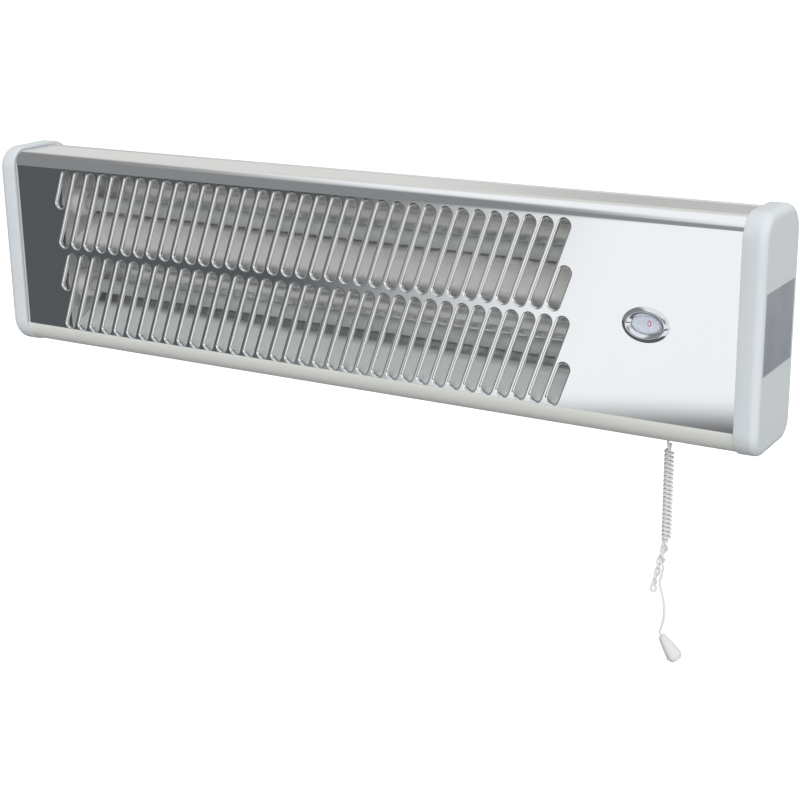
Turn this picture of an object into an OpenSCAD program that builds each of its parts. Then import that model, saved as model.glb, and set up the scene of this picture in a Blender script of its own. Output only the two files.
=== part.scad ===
// Wall-mounted infrared heater: two quartz tubes behind a slotted steel front, and a pull-cord switch.
// Millimetres, +Z up, length along X, front towards -Y.
// The origin is on the wall, at the middle of the wall bracket's back face.

/* [Casing] */
// Length of the metal casing between the end caps
case_l = 478; // [470:1:560]
// Depth of the metal casing, front to back
case_d = 48.3; // [47:0.1:54]
// Top of the casing above the middle of the heater
case_top = 58.8; // [57:0.1:70]
// Bottom of the casing below the middle of the heater
case_bottom = 64.5; // [62:0.1:80]
// Thickness of the casing sheets
sheet = 0.8; // [0.6:0.1:1]
// Radius of the bend between the front and the top
front_top_r = 8.2; // [6:0.1:9]
// Radius of the bend between the front and the bottom
front_bottom_r = 12.2; // [9:0.1:12.3]
// Radius of the bend between the back and the top
back_top_r = 14; // [10:0.5:15]
// Radius of the bend between the back and the bottom
back_bottom_r = 9; // [6:0.5:12]
// Distance from the front face back to the seam between the front panel and the rear casing
seam_d = 31; // [28:0.5:33]
// Width of the lap of the rear casing inside the front panel
lap_w = 10; // [8:0.5:12]
// Gap between sheets that lie on each other
lap_gap = 0.05; // [0.02:0.01:0.1]

/* [Grille] */
// Length of plain casing left of the grille
plain_left = 34; // [33:1:40]
// Length of plain casing right of the grille
plain_right = 94; // [92:1:100]
// Distance from slot to slot
slot_pitch = 10; // [9:0.1:10]
// Clear width of a slot
slot_w = 6.2; // [4:0.1:6.6]
// Clear height of a slot
slot_h = 48.4; // [40:0.1:48.6]
// How far the top of a slot stands to the right of its bottom
slot_lean = 15.5; // [0:0.1:17]
// Width of the pressed lip round a slot
lip_w = 0.8; // [0.6:0.1:1]
// Depth of the pressed lip behind the front face
lip_d = 2.6; // [1.6:0.1:3.2]
// Distance between the middles of the two rows
row_pitch = 52.2; // [52:0.1:54]
// Height of the grille's middle
grille_z = -1; // [-2:0.1:2]
// Clear height of the half slot at each end of the grille
half_slot_h = 23.4; // [12:0.1:24]

/* [End caps] */
// How far an end cap reaches beyond the casing that shows
cap_l = 12.3; // [11:0.1:18]
// How far a cap stands out in front of the casing
cap_front = 2; // [1.6:0.1:3.2]
// How far a cap stands out above the casing
cap_over = 2; // [1.6:0.1:3.2]
// How far a cap stands out below the casing
cap_under = 1.3; // [1.1:0.1:3.2]
// How far a cap stands out behind the casing
cap_behind = 3.6; // [2:0.1:4]
// Wall of a cap's end
cap_wall = 2.5; // [2:0.1:3]
// Radius of a cap's upper front corner, seen from its end
cap_top_r = 13.5; // [10:0.1:13.5]
// Radius of a cap's lower front corner, seen from its end
cap_low_r = 15.5; // [13:0.1:15.5]
// Radius of a cap's outer edge
cap_edge_r = 4.5; // [3:0.1:5]
// Length of casing held inside a cap
cap_seat = 5; // [4:0.1:6]
// Gap round the casing in a cap
cap_gap = 0.15; // [0.1:0.01:0.2]
// Height of the cap screws above and below the middle
cap_screw_z = 30; // [26:1:32]
// Side of the square plate on the right cap
plate_side = 42; // [30:1:42]
// Thickness of the plate on the right cap
plate_t = 0.3; // [0.2:0.1:0.4]

/* [Tubes and reflectors] */
// Outer diameter of a quartz tube
tube_d = 9; // [8:0.5:11]
// Wall of a quartz tube
tube_wall = 1; // [0.8:0.1:1.2]
// Diameter of a heating coil
coil_d = 6; // [4:0.5:6.5]
// Distance between the two tubes
tube_pitch = 52.8; // [52.4:0.1:54]
// Distance from the front face back to the tube axes
tube_depth = 20; // [19:0.5:21]
// Diameter of a ceramic's round nose
nose_d = 15.6; // [14:0.1:17]
// Length of a ceramic's nose beyond its bracket
nose_l = 8.5; // [4.4:0.1:10]
// Width across the flats of a ceramic's eight-sided neck
neck_w = 19; // [18:0.1:20]
// Gap round the ceramic's neck in its bracket
neck_gap = 0.3; // [0.2:0.05:0.5]
// Thickness of a tube bracket
bracket_t = 1; // [0.8:0.1:1.5]
// Width of a bracket's foot on the rear wall
foot_w = 12; // [10:1:14]
// Radius of a reflector behind its tube
mirror_r = 17; // [16:0.1:17.2]
// Thickness of a reflector
mirror_t = 0.5; // [0.4:0.1:0.7]
// Angle at which a reflector's flare leaves its round back
mirror_angle = 70; // [70:0.5:74]
// Distance from the tube axis forward to a reflector's mouth
mirror_front = 15.4; // [10:0.1:15.5]

/* [Switch and window] */
// Distance from the casing's right-hand end to the middle of the window and the switch
switch_inset = 49.5; // [47:0.5:52]
// Height of the window's middle
window_z = -1; // [-3:0.5:2]
// Width of the window's oval bezel
bezel_w = 26.2; // [24:0.1:30]
// Height of the window's oval bezel
bezel_h = 18.9; // [17:0.1:22]
// How far the bezel stands out of the panel
bezel_t = 1.8; // [1.2:0.1:2.6]
// Clear width of the window
window_w = 16.3; // [14:0.1:17]
// Clear height of the window
window_h = 9.8; // [8:0.1:11]
// Distance from the switch shaft up to the numbers on the indicator wheel
number_r = 15; // [14:0.5:16]
// Radius of the indicator wheel
wheel_r = 22; // [21:0.5:23]
// Diameter of the switch shaft
shaft_d = 6; // [5:0.5:6.5]
// Radial gap of a turning fit
turn_gap = 0.05; // [0.03:0.01:0.08]
// Radius of the pull drum's groove, at the middle of the cord
drum_r = 4.7; // [4.6:0.1:5.4]
// Distance from the front face back to the plane of the cord
cord_depth = 25; // [24:0.5:26]
// Diameter of the pull cord
cord_d = 1.5; // [1.35:0.05:1.5]

/* [Wall mount] */
// Distance from the wall to the back of the casing
wall_gap = 43.2; // [42:0.1:60]
// Distance from the wall to the tilt pivot
pivot_y = 28; // [26:0.5:30]
// Diameter of the pivot screws
pivot_d = 6; // [5:0.5:8]
// Length of the wall bracket between the outsides of its arms
bracket_l = 251.2; // [200:0.1:300]
// Height of the wall plate
wall_plate_h = 40; // [30:1:50]
// Thickness of the wall bracket
wall_plate_t = 2; // [1.5:0.1:3]
// Distance between the two wall screws
wall_hole_pitch = 200; // [150:1:220]
// Diameter of the holes for the wall screws
wall_hole_d = 5.5; // [4.5:0.1:7]
// Thickness of the heater's own hinge bracket
saddle_t = 1.5; // [1.2:0.1:2]
// Height of the heater's own hinge bracket
saddle_h = 40; // [30:1:50]
// Side gap between the arms of the two brackets
arm_gap = 0.1; // [0.05:0.01:0.2]

/* [Electrical] */
// Diameter of the supply cable that the gland takes
cable_d = 7; // [6:0.1:8]
// Distance from the casing's right-hand end to the gland
gland_inset = 17; // [16:0.5:19]
// Height of the gland
gland_z = -10; // [-14:0.5:-6]
// Diameter of the insulated wires
wire_d = 2.2; // [1.8:0.1:2.4]

/* [Hidden] */
$fn = 64;

// Colours, as the photograph shows them
steel = "#c9cbcc";
bright_steel = "#e4e6e8";
plastic = "#ccd3da";
cord_white = "#f2f2ee";
zinc = "#b8bcc0";
brass = "#c8a860";
porcelain = "#f0eeea";
dark_plastic = "#3a3a3c";

// Room for the wires: how far they hang, and how far they stand off where they turn
wire_sag = 10;
wire_turn = 5;

// Planes of the casing
back_y = -wall_gap;
front_y = back_y - case_d;
rear_inner_y = back_y - sheet;
panel_inner_y = front_y + sheet;
seam_y = front_y + seam_d;
sheet_end_x = case_l / 2 + cap_seat;
cap_end_x = case_l / 2 + cap_l;

// Places along the casing. The row of slots fills the length between its two plain ends
switch_x = case_l / 2 - switch_inset;
gland_x = case_l / 2 - gland_inset;
cap_screw_inset = 4;
casing_screw_inset = 79;
slot_count = floor((case_l - plain_left - plain_right) / slot_pitch + 0.01) - 1;

// Tubes and their brackets
tube_y = front_y + tube_depth;
tube_z = tube_pitch / 2;
row_half = (slot_count + 1) / 2 * slot_pitch;
grille_x = plain_left + row_half - case_l / 2;
lean_angle = atan2(slot_lean, slot_h - slot_w);
left_bracket_x = grille_x - row_half;
right_bracket_x = grille_x + row_half;
bracket_front_y = front_y + 4.5;
bracket_inset = 2 * sheet + 1;
foot_half_h = 42;
foot_gap = 0.5;
wire_hole_r = 3.5;
mirror_open = 4;
wire_y = rear_inner_y - wire_turn;
socket_depth = 3.5;
socket_gap = 0.1;
shoulder_t = 3;
shoulder_w = neck_w + 4;
neck_t = bracket_t + 0.6;
barrel_d = 11;
barrel_l = 6;
terminal_d = 4;
terminal_l = 8;
nut_r = 4;
nut_t = 2.6;
lead_l = 18;
lead_r = 0.6;

// Screws: shank radius, head radius and head height of the small ones
screw_r = 1.5;
screw_head_r = 3.4;
screw_head_t = 2;
screw_hole_r = 1.75;
screw_l = 8;
low_head_r = 3;
low_head_t = 1.6;
low_screw_l = 5;
bracket_screw_z = 38;

// Switch, from the window back to the rear wall
shaft_z = window_z - number_r;
shaft_r = shaft_d / 2;
bore_r = shaft_r + turn_gap;
wheel_front_y = front_y + 3;
wheel_t = 2;
wheel_hub_r = shaft_r + 2;
cord_y = front_y + cord_depth;
cord_r = cord_d / 2;
groove_half = 1.4;
flange_t = 1;
drum_front_y = cord_y - groove_half - flange_t;
drum_back_y = cord_y + groove_half + flange_t;
ratchet_r = 8;
ratchet_root_r = 5.6;
ratchet_t = 3;
ratchet_front_y = drum_front_y - 0.3 - ratchet_t;
front_flange_r = 12;
back_flange_r = 8.5;
spring_wire_r = 0.4;
spring_r = bore_r + 2.4;
spring_turns = 4;
spring_pitch = 1.25;
spring_start_y = drum_back_y + 0.8;
plate_front_y = spring_start_y + spring_turns * spring_pitch + 0.9;
switch_bracket_t = 1;
switch_bracket_w = 37;
switch_bracket_top = 26;
switch_bracket_low = -26;
body_front_y = plate_front_y + switch_bracket_t;
body_back_y = rear_inner_y - 2;
body_w = 33;
cam_r = 9;
cam_t = 5;
cavity_r = 13.5;
cavity_back_y = body_back_y - 2.4;
shaft_end_y = body_back_y - 0.6;
shaft_start_y = wheel_front_y - 0.4;
blade_z = shaft_z - body_w / 2;
blade_l = 5;
blade_y = body_back_y - 4;
blade_x = [for (i = [-1.5 : 1 : 1.5]) switch_x + 8 * i];

// Pull cord
cord_x = switch_x + drum_r;
bush_r = 3;
bush_flange_r = 4.6;
bush_flange_t = 1.4;
bush_bore_r = 1.2;
bush_low_z = -case_bottom - bush_flange_t;
hang_z = bush_low_z - 0.6;
joint_gap = 0.2;
wrap_gap = 0.6;

// The winding, as distances from where the cord leaves the bush. Two strands run down its core
// and a third is wound round them; below it two strands twist round the third.
wind_x = 0.9;
core_half = 0.78;
wind_rx = 2;
wind_ry = 2.4;
wind_top = -8.6;
wind_low = -60;
wind_turns = 21.25;
wind_rings = 12;
wind_pitch = (wind_top - wind_low) / wind_turns;
core_top = wind_top + 0.9;
core_rings = 20;
lead_points = [[0, 0, -0.2], [0, 0, -1.4], [0, 0, -2.8], [0.15, -0.25, -4.4], [0.5, -0.62, -6.1]];
over_points = [
    [0.9, 0.89, -6.5], [0.88, 1.22, -6.08], [0.84, 1.72, -5.93], [0.78, 2.22, -6.08],
    [0.69, 2.58, -6.5], [0.52, 2.7, -7.1], [0.2, 2.55, -7.9]
];
twist_top = wind_low - 1.6;
twist_low = -87.8;
twist_end_x = -5.3;
twist_turns = 1.837;
twist_rings = 28;
eye = [-5.5, 0, -90.4];
eye_half_w = 1.35;
eye_half_h = 1.95;
eye_turn = 31.3;
leave_points = [[-0.35, 0.1, -78], [-0.8, 0.2, -80.4], [-1.35, 0.15, -82.8], [-1.8, 0.1, -84.4]];

// The tail and the knob, from the same place
tail_points = [
    [-1.8, 0.1, -84.4], [-1.95, 0.1, -85.4], [-1.7, 0, -87.6], [-0.7, 0, -91.4], [0.4, 0, -95.2],
    [1.1, 0, -99], [1.4, 0, -102.8], [1.2, 0, -106.6], [0.6, 0, -110.2], [-0.2, 0, -113.4],
    [-0.7, 0, -115.2], [-0.75, 0, -116.3], [-0.4, 0, -117], [0.2, 0, -117.8]
];
knob_lean = [0.6, 0, -0.8];
knob_l = 15.8;
knob_top_d = 4.4;
knob_low_d = 9.4;
knob_skirt_l = 3;
knob_end_d = 6;

// Wires
wire_r = wire_d / 2;
block_inset = 26;
block_x = case_l / 2 - block_inset;
block_z = 35;
block_w = 27;
block_h = 18;
block_d = 11;
pole_pitch = 8;
earth_gap = 26.5;
earth_x = switch_x - earth_gap;
earth_z = -40;

// Wall mount
pivot_r = pivot_d / 2;
pivot_bore_r = pivot_r + turn_gap;
arm_r = pivot_r + 6;
ear_r = pivot_r + 5;
arm_out_x = bracket_l / 2;
arm_in_x = arm_out_x - wall_plate_t;
ear_out_x = arm_in_x - arm_gap;
ear_in_x = ear_out_x - saddle_t;
washer_t = 1.2;
washer_r = pivot_r + 3.5;
hex_r = pivot_r * 1.9;
hex_t = 4;
saddle_screw_x = 90;
saddle_screw_z = 12;

// Shapes

// A 2D outline in Y and Z, drawn out along X
module along_x(x0, x1) {
    translate([x0, 0, 0]) rotate([90, 0, 90]) linear_extrude(x1 - x0) children();
}

// A 2D outline in X and Z, drawn out along Y
module along_y(y0, y1) {
    translate([0, y1, 0]) rotate([90, 0, 0]) linear_extrude(y1 - y0) children();
}

// A round bar along Y
module bar_y(x, z, r, y0, y1) {
    translate([x, y1, z]) rotate([90, 0, 0]) cylinder(r = r, h = y1 - y0);
}

// A round bar along X
module bar_x(y, z, r, x0, x1) {
    translate([x0, y, z]) rotate([0, 90, 0]) cylinder(r = r, h = x1 - x0);
}

// A block between two corners
module block(low, high) {
    translate(low) cube(high - low);
}

// The casing's cross-section in Y and Z, grown by d
module casing_outline(d) {
    bends = [
        [front_y + front_top_r, case_top - front_top_r, front_top_r + d],
        [front_y + front_bottom_r, front_bottom_r - case_bottom, front_bottom_r + d],
        [back_y - back_bottom_r, back_bottom_r - case_bottom, back_bottom_r + d],
        [back_y - back_top_r, case_top - back_top_r, back_top_r + d]
    ];
    for (b = bends) translate([b[0], b[1]]) circle(r = b[2]);
    polygon([
        [front_y - d, bends[0][1]], [front_y - d, bends[1][1]],
        [bends[1][0], -case_bottom - d], [bends[2][0], -case_bottom - d],
        [back_y + d, bends[2][1]], [back_y + d, bends[3][1]],
        [bends[3][0], case_top + d], [bends[0][0], case_top + d]
    ]);
}

// The wall of the casing between two depths below its surface, from y0 back to y1
module casing_wall(outer, inner, y0, y1) {
    intersection() {
        difference() {
            casing_outline(-outer);
            casing_outline(-inner);
        }
        translate([y0, -2 * case_bottom]) square([y1 - y0, 4 * case_bottom]);
    }
}

// An upright slot with round ends: length between the middles of the ends, and their radius
module stadium(length, r) {
    for (s = [-1, 1]) translate([0, s * length / 2]) circle(r = r);
    square([2 * r, length], center = true);
}

// A slot that leans like all of them, from its lower end's middle at the origin
module leaning_slot(h, d) {
    length = (h - slot_w) / cos(lean_angle);
    rotate(-lean_angle) translate([0, length / 2]) stadium(length, slot_w / 2 + d);
}

// A full slot, d wider all round than its clear hole
module full_slot(d) {
    translate([-slot_lean / 2, slot_w / 2 - slot_h / 2]) leaning_slot(slot_h, d);
}

// The half slot at the right-hand end of a row, d wider all round than its clear hole
module half_slot(d) {
    translate([-slot_lean / 2, slot_w / 2 - slot_h / 2]) leaning_slot(half_slot_h, d);
}

// Every slot of the grille, d wider all round than the clear holes
module grille(d) {
    for (side = [-1, 1]) {
        translate([grille_x, grille_z + side * row_pitch / 2]) {
            for (i = [0 : slot_count - 1])
                translate([(i - (slot_count - 1) / 2) * slot_pitch, 0]) full_slot(d);
            for (turn = [0, 180]) rotate(turn) translate([row_half, 0]) half_slot(d);
        }
    }
}

// An oval, w wide and h high
module oval(w, h) {
    polygon([for (i = [0 : 59]) [w / 2 * cos(6 * i), h / 2 * sin(6 * i)]]);
}

// A screw along +Y from its head, with the head's back at y and the shank running forward
module screw_y(x, z, y, length, r = screw_r, head_r = screw_head_r, head_t = screw_head_t) {
    bar_y(x, z, head_r, y, y + head_t);
    bar_y(x, z, r, y - length, y + 0.01);
}

// Unit vector
function unit(v) = v / norm(v);

// Directions along a list of points
function tangents(p) = [
    for (i = [0 : len(p) - 1]) unit(p[min(i + 1, len(p) - 1)] - p[max(i - 1, 0)])
];

// A direction square to each tangent, carried along without twist
function carried(t, first) = [
    for (i = 0, n = unit(first - t[0] * (first * t[0]));
         i < len(t);
         i = i + 1, n = i < len(t) ? unit(n - t[i] * (n * t[i])) : n) n
];

// A round tube swept along points
module swept_tube(points, r, sides, first = [1, 0.2, 0.1]) {
    t = tangents(points);
    n = carried(t, first);
    last = len(points) - 1;
    rings = [
        for (i = [0 : last], k = [0 : sides - 1])
            let (a = 360 * k / sides)
            points[i] + r * (cos(a) * n[i] + sin(a) * cross(t[i], n[i]))
    ];
    ends = [points[0], points[last]];
    faces = [
        for (k = [0 : sides - 1]) [len(rings), (k + 1) % sides, k],
        for (k = [0 : sides - 1])
            [len(rings) + 1, last * sides + k, last * sides + (k + 1) % sides],
        for (i = [0 : last - 1], k = [0 : sides - 1])
            let (a = i * sides + k, b = i * sides + (k + 1) % sides)
            each [[a, b, b + sides], [a, b + sides, a + sides]]
    ];
    polyhedron(points = concat(rings, ends), faces = [for (f = faces) [f[2], f[1], f[0]]]);
}

// A route with its corners rounded: each inner point becomes a short curve
function eased(p, reach) = [
    p[0],
    for (i = [1 : len(p) - 2])
        let (
            a = p[i] + unit(p[i - 1] - p[i]) * min(reach, norm(p[i - 1] - p[i]) / 2.1),
            b = p[i] + unit(p[i + 1] - p[i]) * min(reach, norm(p[i + 1] - p[i]) / 2.1)
        )
        for (s = [0, 0.25, 0.5, 0.75, 1])
            (1 - s) * (1 - s) * a + 2 * s * (1 - s) * p[i] + s * s * b,
    p[len(p) - 1]
];

// Casing

module front_panel() {
    color(steel) difference() {
        union() {
            along_x(-sheet_end_x, sheet_end_x)
                casing_wall(0, sheet, front_y - 1, seam_y);
            along_y(front_y + sheet / 2, front_y + lip_d) grille(lip_w);
        }
        along_y(front_y - 1, front_y + lip_d + 1) grille(0);
        along_y(front_y - 1, front_y + sheet + 1)
            translate([switch_x, window_z]) oval(bezel_w - 3.6, bezel_h - 3.6);
        translate([cord_x, cord_y, -case_bottom - 1]) cylinder(r = bush_r + 0.1, h = 4);
        for (x = casing_screw_x)
            translate([x, casing_screw_y, -case_bottom - 1]) cylinder(r = screw_hole_r, h = 4);
    }
}

casing_screw_x = [casing_screw_inset - case_l / 2, 0, case_l / 2 - casing_screw_inset - slot_pitch];
casing_screw_y = seam_y - lap_w / 2;

module rear_casing() {
    lap_in = sheet + lap_gap;
    color(zinc) difference() {
        along_x(-sheet_end_x, sheet_end_x) {
            casing_wall(0, sheet, seam_y + 0.3, back_y + 1);
            casing_wall(0, lap_in + sheet, seam_y + 0.3, seam_y + 0.3 + sheet);
            casing_wall(lap_in, lap_in + sheet, seam_y - lap_w, seam_y + 0.3 + sheet);
        }
        translate([cord_x, cord_y, -case_bottom - 1]) cylinder(r = bush_r + 0.1, h = 6);
        for (x = casing_screw_x)
            translate([x, casing_screw_y, -case_bottom - 1]) cylinder(r = screw_hole_r, h = 6);
        for (p = rear_screw_places) bar_y(p[0], p[1], screw_hole_r, rear_inner_y - 1, back_y + 1);
        bar_y(gland_x, gland_z, gland_body_r + 0.1, rear_inner_y - 1, back_y + 1);
        bar_y(earth_x, earth_z, earth_r + 0.1, rear_inner_y - 1, back_y + 1);
    }
}

// Places of the screws through the rear wall, in X and Z
cap_screw_places = [
    for (s = [-1, 1], z = [-cap_screw_z, cap_screw_z]) [s * (case_l / 2 - cap_screw_inset), z]
];
bracket_screw_places = [
    for (z = [-bracket_screw_z, bracket_screw_z])
        each [[left_bracket_x - foot_w / 2, z], [right_bracket_x + foot_w / 2, z]]
];
switch_screw_places = [
    [switch_x, shaft_z + switch_bracket_top + 5], [switch_x, shaft_z + switch_bracket_low - 5]
];
saddle_screw_places = [
    for (x = [-saddle_screw_x, saddle_screw_x], z = [-saddle_screw_z, saddle_screw_z]) [x, z]
];
block_screw_places = [[block_x, block_z]];
rear_screw_places = concat(
    cap_screw_places, bracket_screw_places, switch_screw_places, saddle_screw_places,
    block_screw_places
);

// The right-hand cap; the left-hand one is its mirror image
module end_cap() {
    front = front_y - cap_front;
    back = back_y + cap_behind;
    top = case_top + cap_over;
    low = -case_bottom - cap_under;
    r = [
        cap_top_r, cap_low_r, back_bottom_r + (cap_behind + cap_under) / 2,
        back_top_r + (cap_behind + cap_over) / 2
    ];
    end_corners = [
        [front + r[0], top - r[0], r[0]], [front + r[1], low + r[1], r[1]],
        [back - r[2], low + r[2], r[2]], [back - r[3], top - r[3], r[3]]
    ];
    color(plastic) {
        difference() {
            hull() for (c = end_corners) translate([case_l / 2, c[0], c[1]])
                rotate([0, 90, 0]) rotate_extrude($fn = 48) polygon([
                    [0, 0], [c[2], 0],
                    for (a = [0 : 15 : 90])
                        [c[2] - cap_edge_r * (1 - cos(a)), cap_l - cap_edge_r * (1 - sin(a))],
                    [0, cap_l]
                ]);
            along_x(case_l / 2 - 1, sheet_end_x + cap_gap) casing_outline(cap_gap);
            along_x(sheet_end_x, cap_end_x - cap_wall) casing_outline(-sheet - 1.2);
        }
        for (z = [-cap_screw_z, cap_screw_z]) difference() {
            block(
                [case_l / 2 - 9, rear_inner_y - 12, z - 6],
                [cap_end_x - cap_wall + 0.5, rear_inner_y - cap_gap, z + 6]
            );
            bar_y(case_l / 2 - cap_screw_inset, z, screw_r, rear_inner_y - 10, rear_inner_y + 1);
        }
    }
}

module right_end_cap() {
    end_cap();
}

module left_end_cap() {
    mirror([1, 0, 0]) end_cap();
}

module rating_plate() {
    mid_y = (front_y + back_y) / 2 - 0.4;
    color("#8f969c") block(
        [cap_end_x, mid_y - plate_side / 2, -plate_side / 2],
        [cap_end_x + plate_t, mid_y + plate_side / 2, plate_side / 2]
    );
}

module cap_screws() {
    color(zinc) for (p = cap_screw_places) screw_y(p[0], p[1], back_y, screw_l + 1);
}

module casing_screws() {
    color(zinc) for (x = casing_screw_x) {
        translate([x, casing_screw_y, -case_bottom - low_head_t]) cylinder(r = low_head_r, h = low_head_t);
        translate([x, casing_screw_y, -case_bottom - 0.01]) cylinder(r = screw_r, h = low_screw_l);
    }
}

// Tube brackets, tubes and reflectors

// A plate across the casing, bent out at the back to a foot on the rear wall and at the front to a
// flange behind the panel; side is -1 for left and 1 for right
module tube_bracket(x, side) {
    x0 = min(x, x + side * bracket_t);
    foot_x0 = min(x, x + side * foot_w);
    color(bright_steel) difference() {
        union() {
            along_x(x0, x0 + bracket_t) intersection() {
                casing_outline(-bracket_inset);
                translate([bracket_front_y, -case_bottom])
                    square([rear_inner_y - foot_gap - bracket_front_y, 2 * case_bottom]);
            }
            block(
                [x0, rear_inner_y - bracket_inset - 2, -foot_half_h],
                [x0 + bracket_t, rear_inner_y, foot_half_h]
            );
            block(
                [foot_x0, rear_inner_y - bracket_t, -foot_half_h],
                [foot_x0 + foot_w, rear_inner_y, foot_half_h]
            );
            block(
                [foot_x0, bracket_front_y, front_bottom_r - case_bottom],
                [foot_x0 + foot_w, bracket_front_y + bracket_t, case_top - front_top_r]
            );
        }
        for (z = [-tube_z, tube_z])
            translate([x0 - 1, tube_y, z]) rotate([0, 90, 0]) rotate(22.5)
                cylinder(r = (neck_w / 2 + neck_gap) / cos(22.5), h = bracket_t + 2, $fn = 8);
        bar_x(wire_y, 0, wire_hole_r, x0 - 1, x0 + bracket_t + 1);
        for (z = [-bracket_screw_z, bracket_screw_z])
            bar_y(x + side * foot_w / 2, z, screw_r, rear_inner_y - 3, rear_inner_y + 1);
    }
}

module left_tube_bracket() {
    tube_bracket(left_bracket_x, -1);
}

module right_tube_bracket() {
    tube_bracket(right_bracket_x, 1);
}

module bracket_screws() {
    color(zinc) for (p = bracket_screw_places) screw_y(p[0], p[1], back_y, 5);
}

// The space in front of a reflector whose round back has radius r, about the tube's axis
module trough(r) {
    flare = [-sin(mirror_angle - mirror_open), cos(mirror_angle - mirror_open)];
    fold = r * [cos(mirror_angle), sin(mirror_angle)];
    start = fold - 1.8 * flare;
    mouth = fold[1] + (fold[0] + mirror_front) / -flare[0] * flare[1];
    circle(r = r, $fn = 128);
    polygon([start, [-mirror_front, mouth], [-mirror_front, -mouth], [start[0], -start[1]]]);
}

module reflector(z) {
    color(bright_steel) along_x(left_bracket_x, right_bracket_x) translate([tube_y, z])
        difference() {
            trough(mirror_r + mirror_t);
            trough(mirror_r);
            translate([-mirror_front - 20, -40]) square([20, 80]);
        }
}

module upper_reflector() {
    reflector(tube_z);
}

module lower_reflector() {
    reflector(-tube_z);
}

tube_left_x = left_bracket_x + nose_l - socket_depth;
tube_right_x = right_bracket_x - nose_l + socket_depth;

module quartz_tube(z) {
    color("#e8e4dc", 0.7) difference() {
        bar_x(tube_y, z, tube_d / 2, tube_left_x, tube_right_x);
        bar_x(tube_y, z, tube_d / 2 - tube_wall, tube_left_x - 1, tube_right_x + 1);
    }
}

module upper_quartz_tube() {
    quartz_tube(tube_z);
}

module lower_quartz_tube() {
    quartz_tube(-tube_z);
}

// A coil as the round sleeve that its wire fills, on two straight leads
module heating_coil(z) {
    x0 = tube_left_x + lead_l;
    x1 = tube_right_x - lead_l;
    color("#8a7f78") {
        difference() {
            bar_x(tube_y, z, coil_d / 2, x0, x1);
            bar_x(tube_y, z, coil_d / 2 - 1, x0 + 1, x1 - 1);
        }
        bar_x(tube_y, z, lead_r, left_bracket_x - shoulder_t, x0 + 0.5);
        bar_x(tube_y, z, lead_r, x1 - 0.5, right_bracket_x + shoulder_t);
    }
}

module upper_heating_coil() {
    heating_coil(tube_z);
}

module lower_heating_coil() {
    heating_coil(-tube_z);
}

// A ceramic on the right-hand bracket: nose, eight-sided neck, shoulder and barrel, outwards
module right_ceramic() {
    color(porcelain) difference() {
        union() {
            bar_x(0, 0, nose_d / 2, -nose_l, 0.5);
            translate([-0.3, 0, 0]) rotate([0, 90, 0]) rotate(22.5)
                cylinder(r = neck_w / 2 / cos(22.5), h = neck_t, $fn = 8);
            translate([bracket_t, 0, 0]) rotate([0, 90, 0]) rotate(22.5)
                cylinder(r = shoulder_w / 2 / cos(22.5), h = shoulder_t, $fn = 8);
            bar_x(0, 0, barrel_d / 2, bracket_t + 0.5, bracket_t + shoulder_t + barrel_l);
        }
        bar_x(0, 0, tube_d / 2 + socket_gap, -nose_l - 1, -nose_l + socket_depth);
        bar_x(0, 0, 1, -nose_l, shoulder_t + 0.4);
        bar_x(0, 0, terminal_d / 2 + 0.05, shoulder_t + 0.2, shoulder_t + barrel_l + 3);
    }
}

module ceramic_at(side, z) {
    if (side > 0) translate([right_bracket_x, tube_y, z]) right_ceramic();
    else translate([left_bracket_x, tube_y, z]) mirror([1, 0, 0]) right_ceramic();
}

module upper_left_ceramic() {
    ceramic_at(-1, tube_z);
}

module upper_right_ceramic() {
    ceramic_at(1, tube_z);
}

module lower_left_ceramic() {
    ceramic_at(-1, -tube_z);
}

module lower_right_ceramic() {
    ceramic_at(1, -tube_z);
}

terminal_end = bracket_t + shoulder_t + barrel_l + terminal_l;

// A threaded stud with its nut on each of one side's ceramics
module right_terminal() {
    color(brass) {
        bar_x(0, 0, terminal_d / 2, shoulder_t + 0.4, terminal_end);
        translate([bracket_t + shoulder_t + barrel_l, 0, 0]) rotate([0, 90, 0])
            cylinder(r = nut_r, h = nut_t, $fn = 6);
    }
}

module right_tube_terminals() {
    for (z = [-tube_z, tube_z]) translate([right_bracket_x, tube_y, z]) right_terminal();
}

module left_tube_terminals() {
    for (z = [-tube_z, tube_z])
        translate([left_bracket_x, tube_y, z]) mirror([1, 0, 0]) right_terminal();
}

// Window

module window_bezel() {
    color("#dfe2e6") translate([switch_x, 0, window_z]) difference() {
        union() {
            along_y(front_y - bezel_t, front_y) oval(bezel_w, bezel_h);
            along_y(front_y - 0.2, front_y + 2) oval(bezel_w - 4, bezel_h - 4);
        }
        along_y(front_y - bezel_t - 1, front_y - 0.2) oval(window_w + 1.6, window_h + 1.6);
        along_y(front_y - bezel_t - 1, front_y + 3) oval(window_w, window_h);
    }
}

module window_lens() {
    color("#c6ccd2") translate([switch_x, 0, window_z])
        along_y(front_y + 0.3, front_y + 1.8) oval(window_w - 0.2, window_h - 0.2);
}

// Switch

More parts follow.
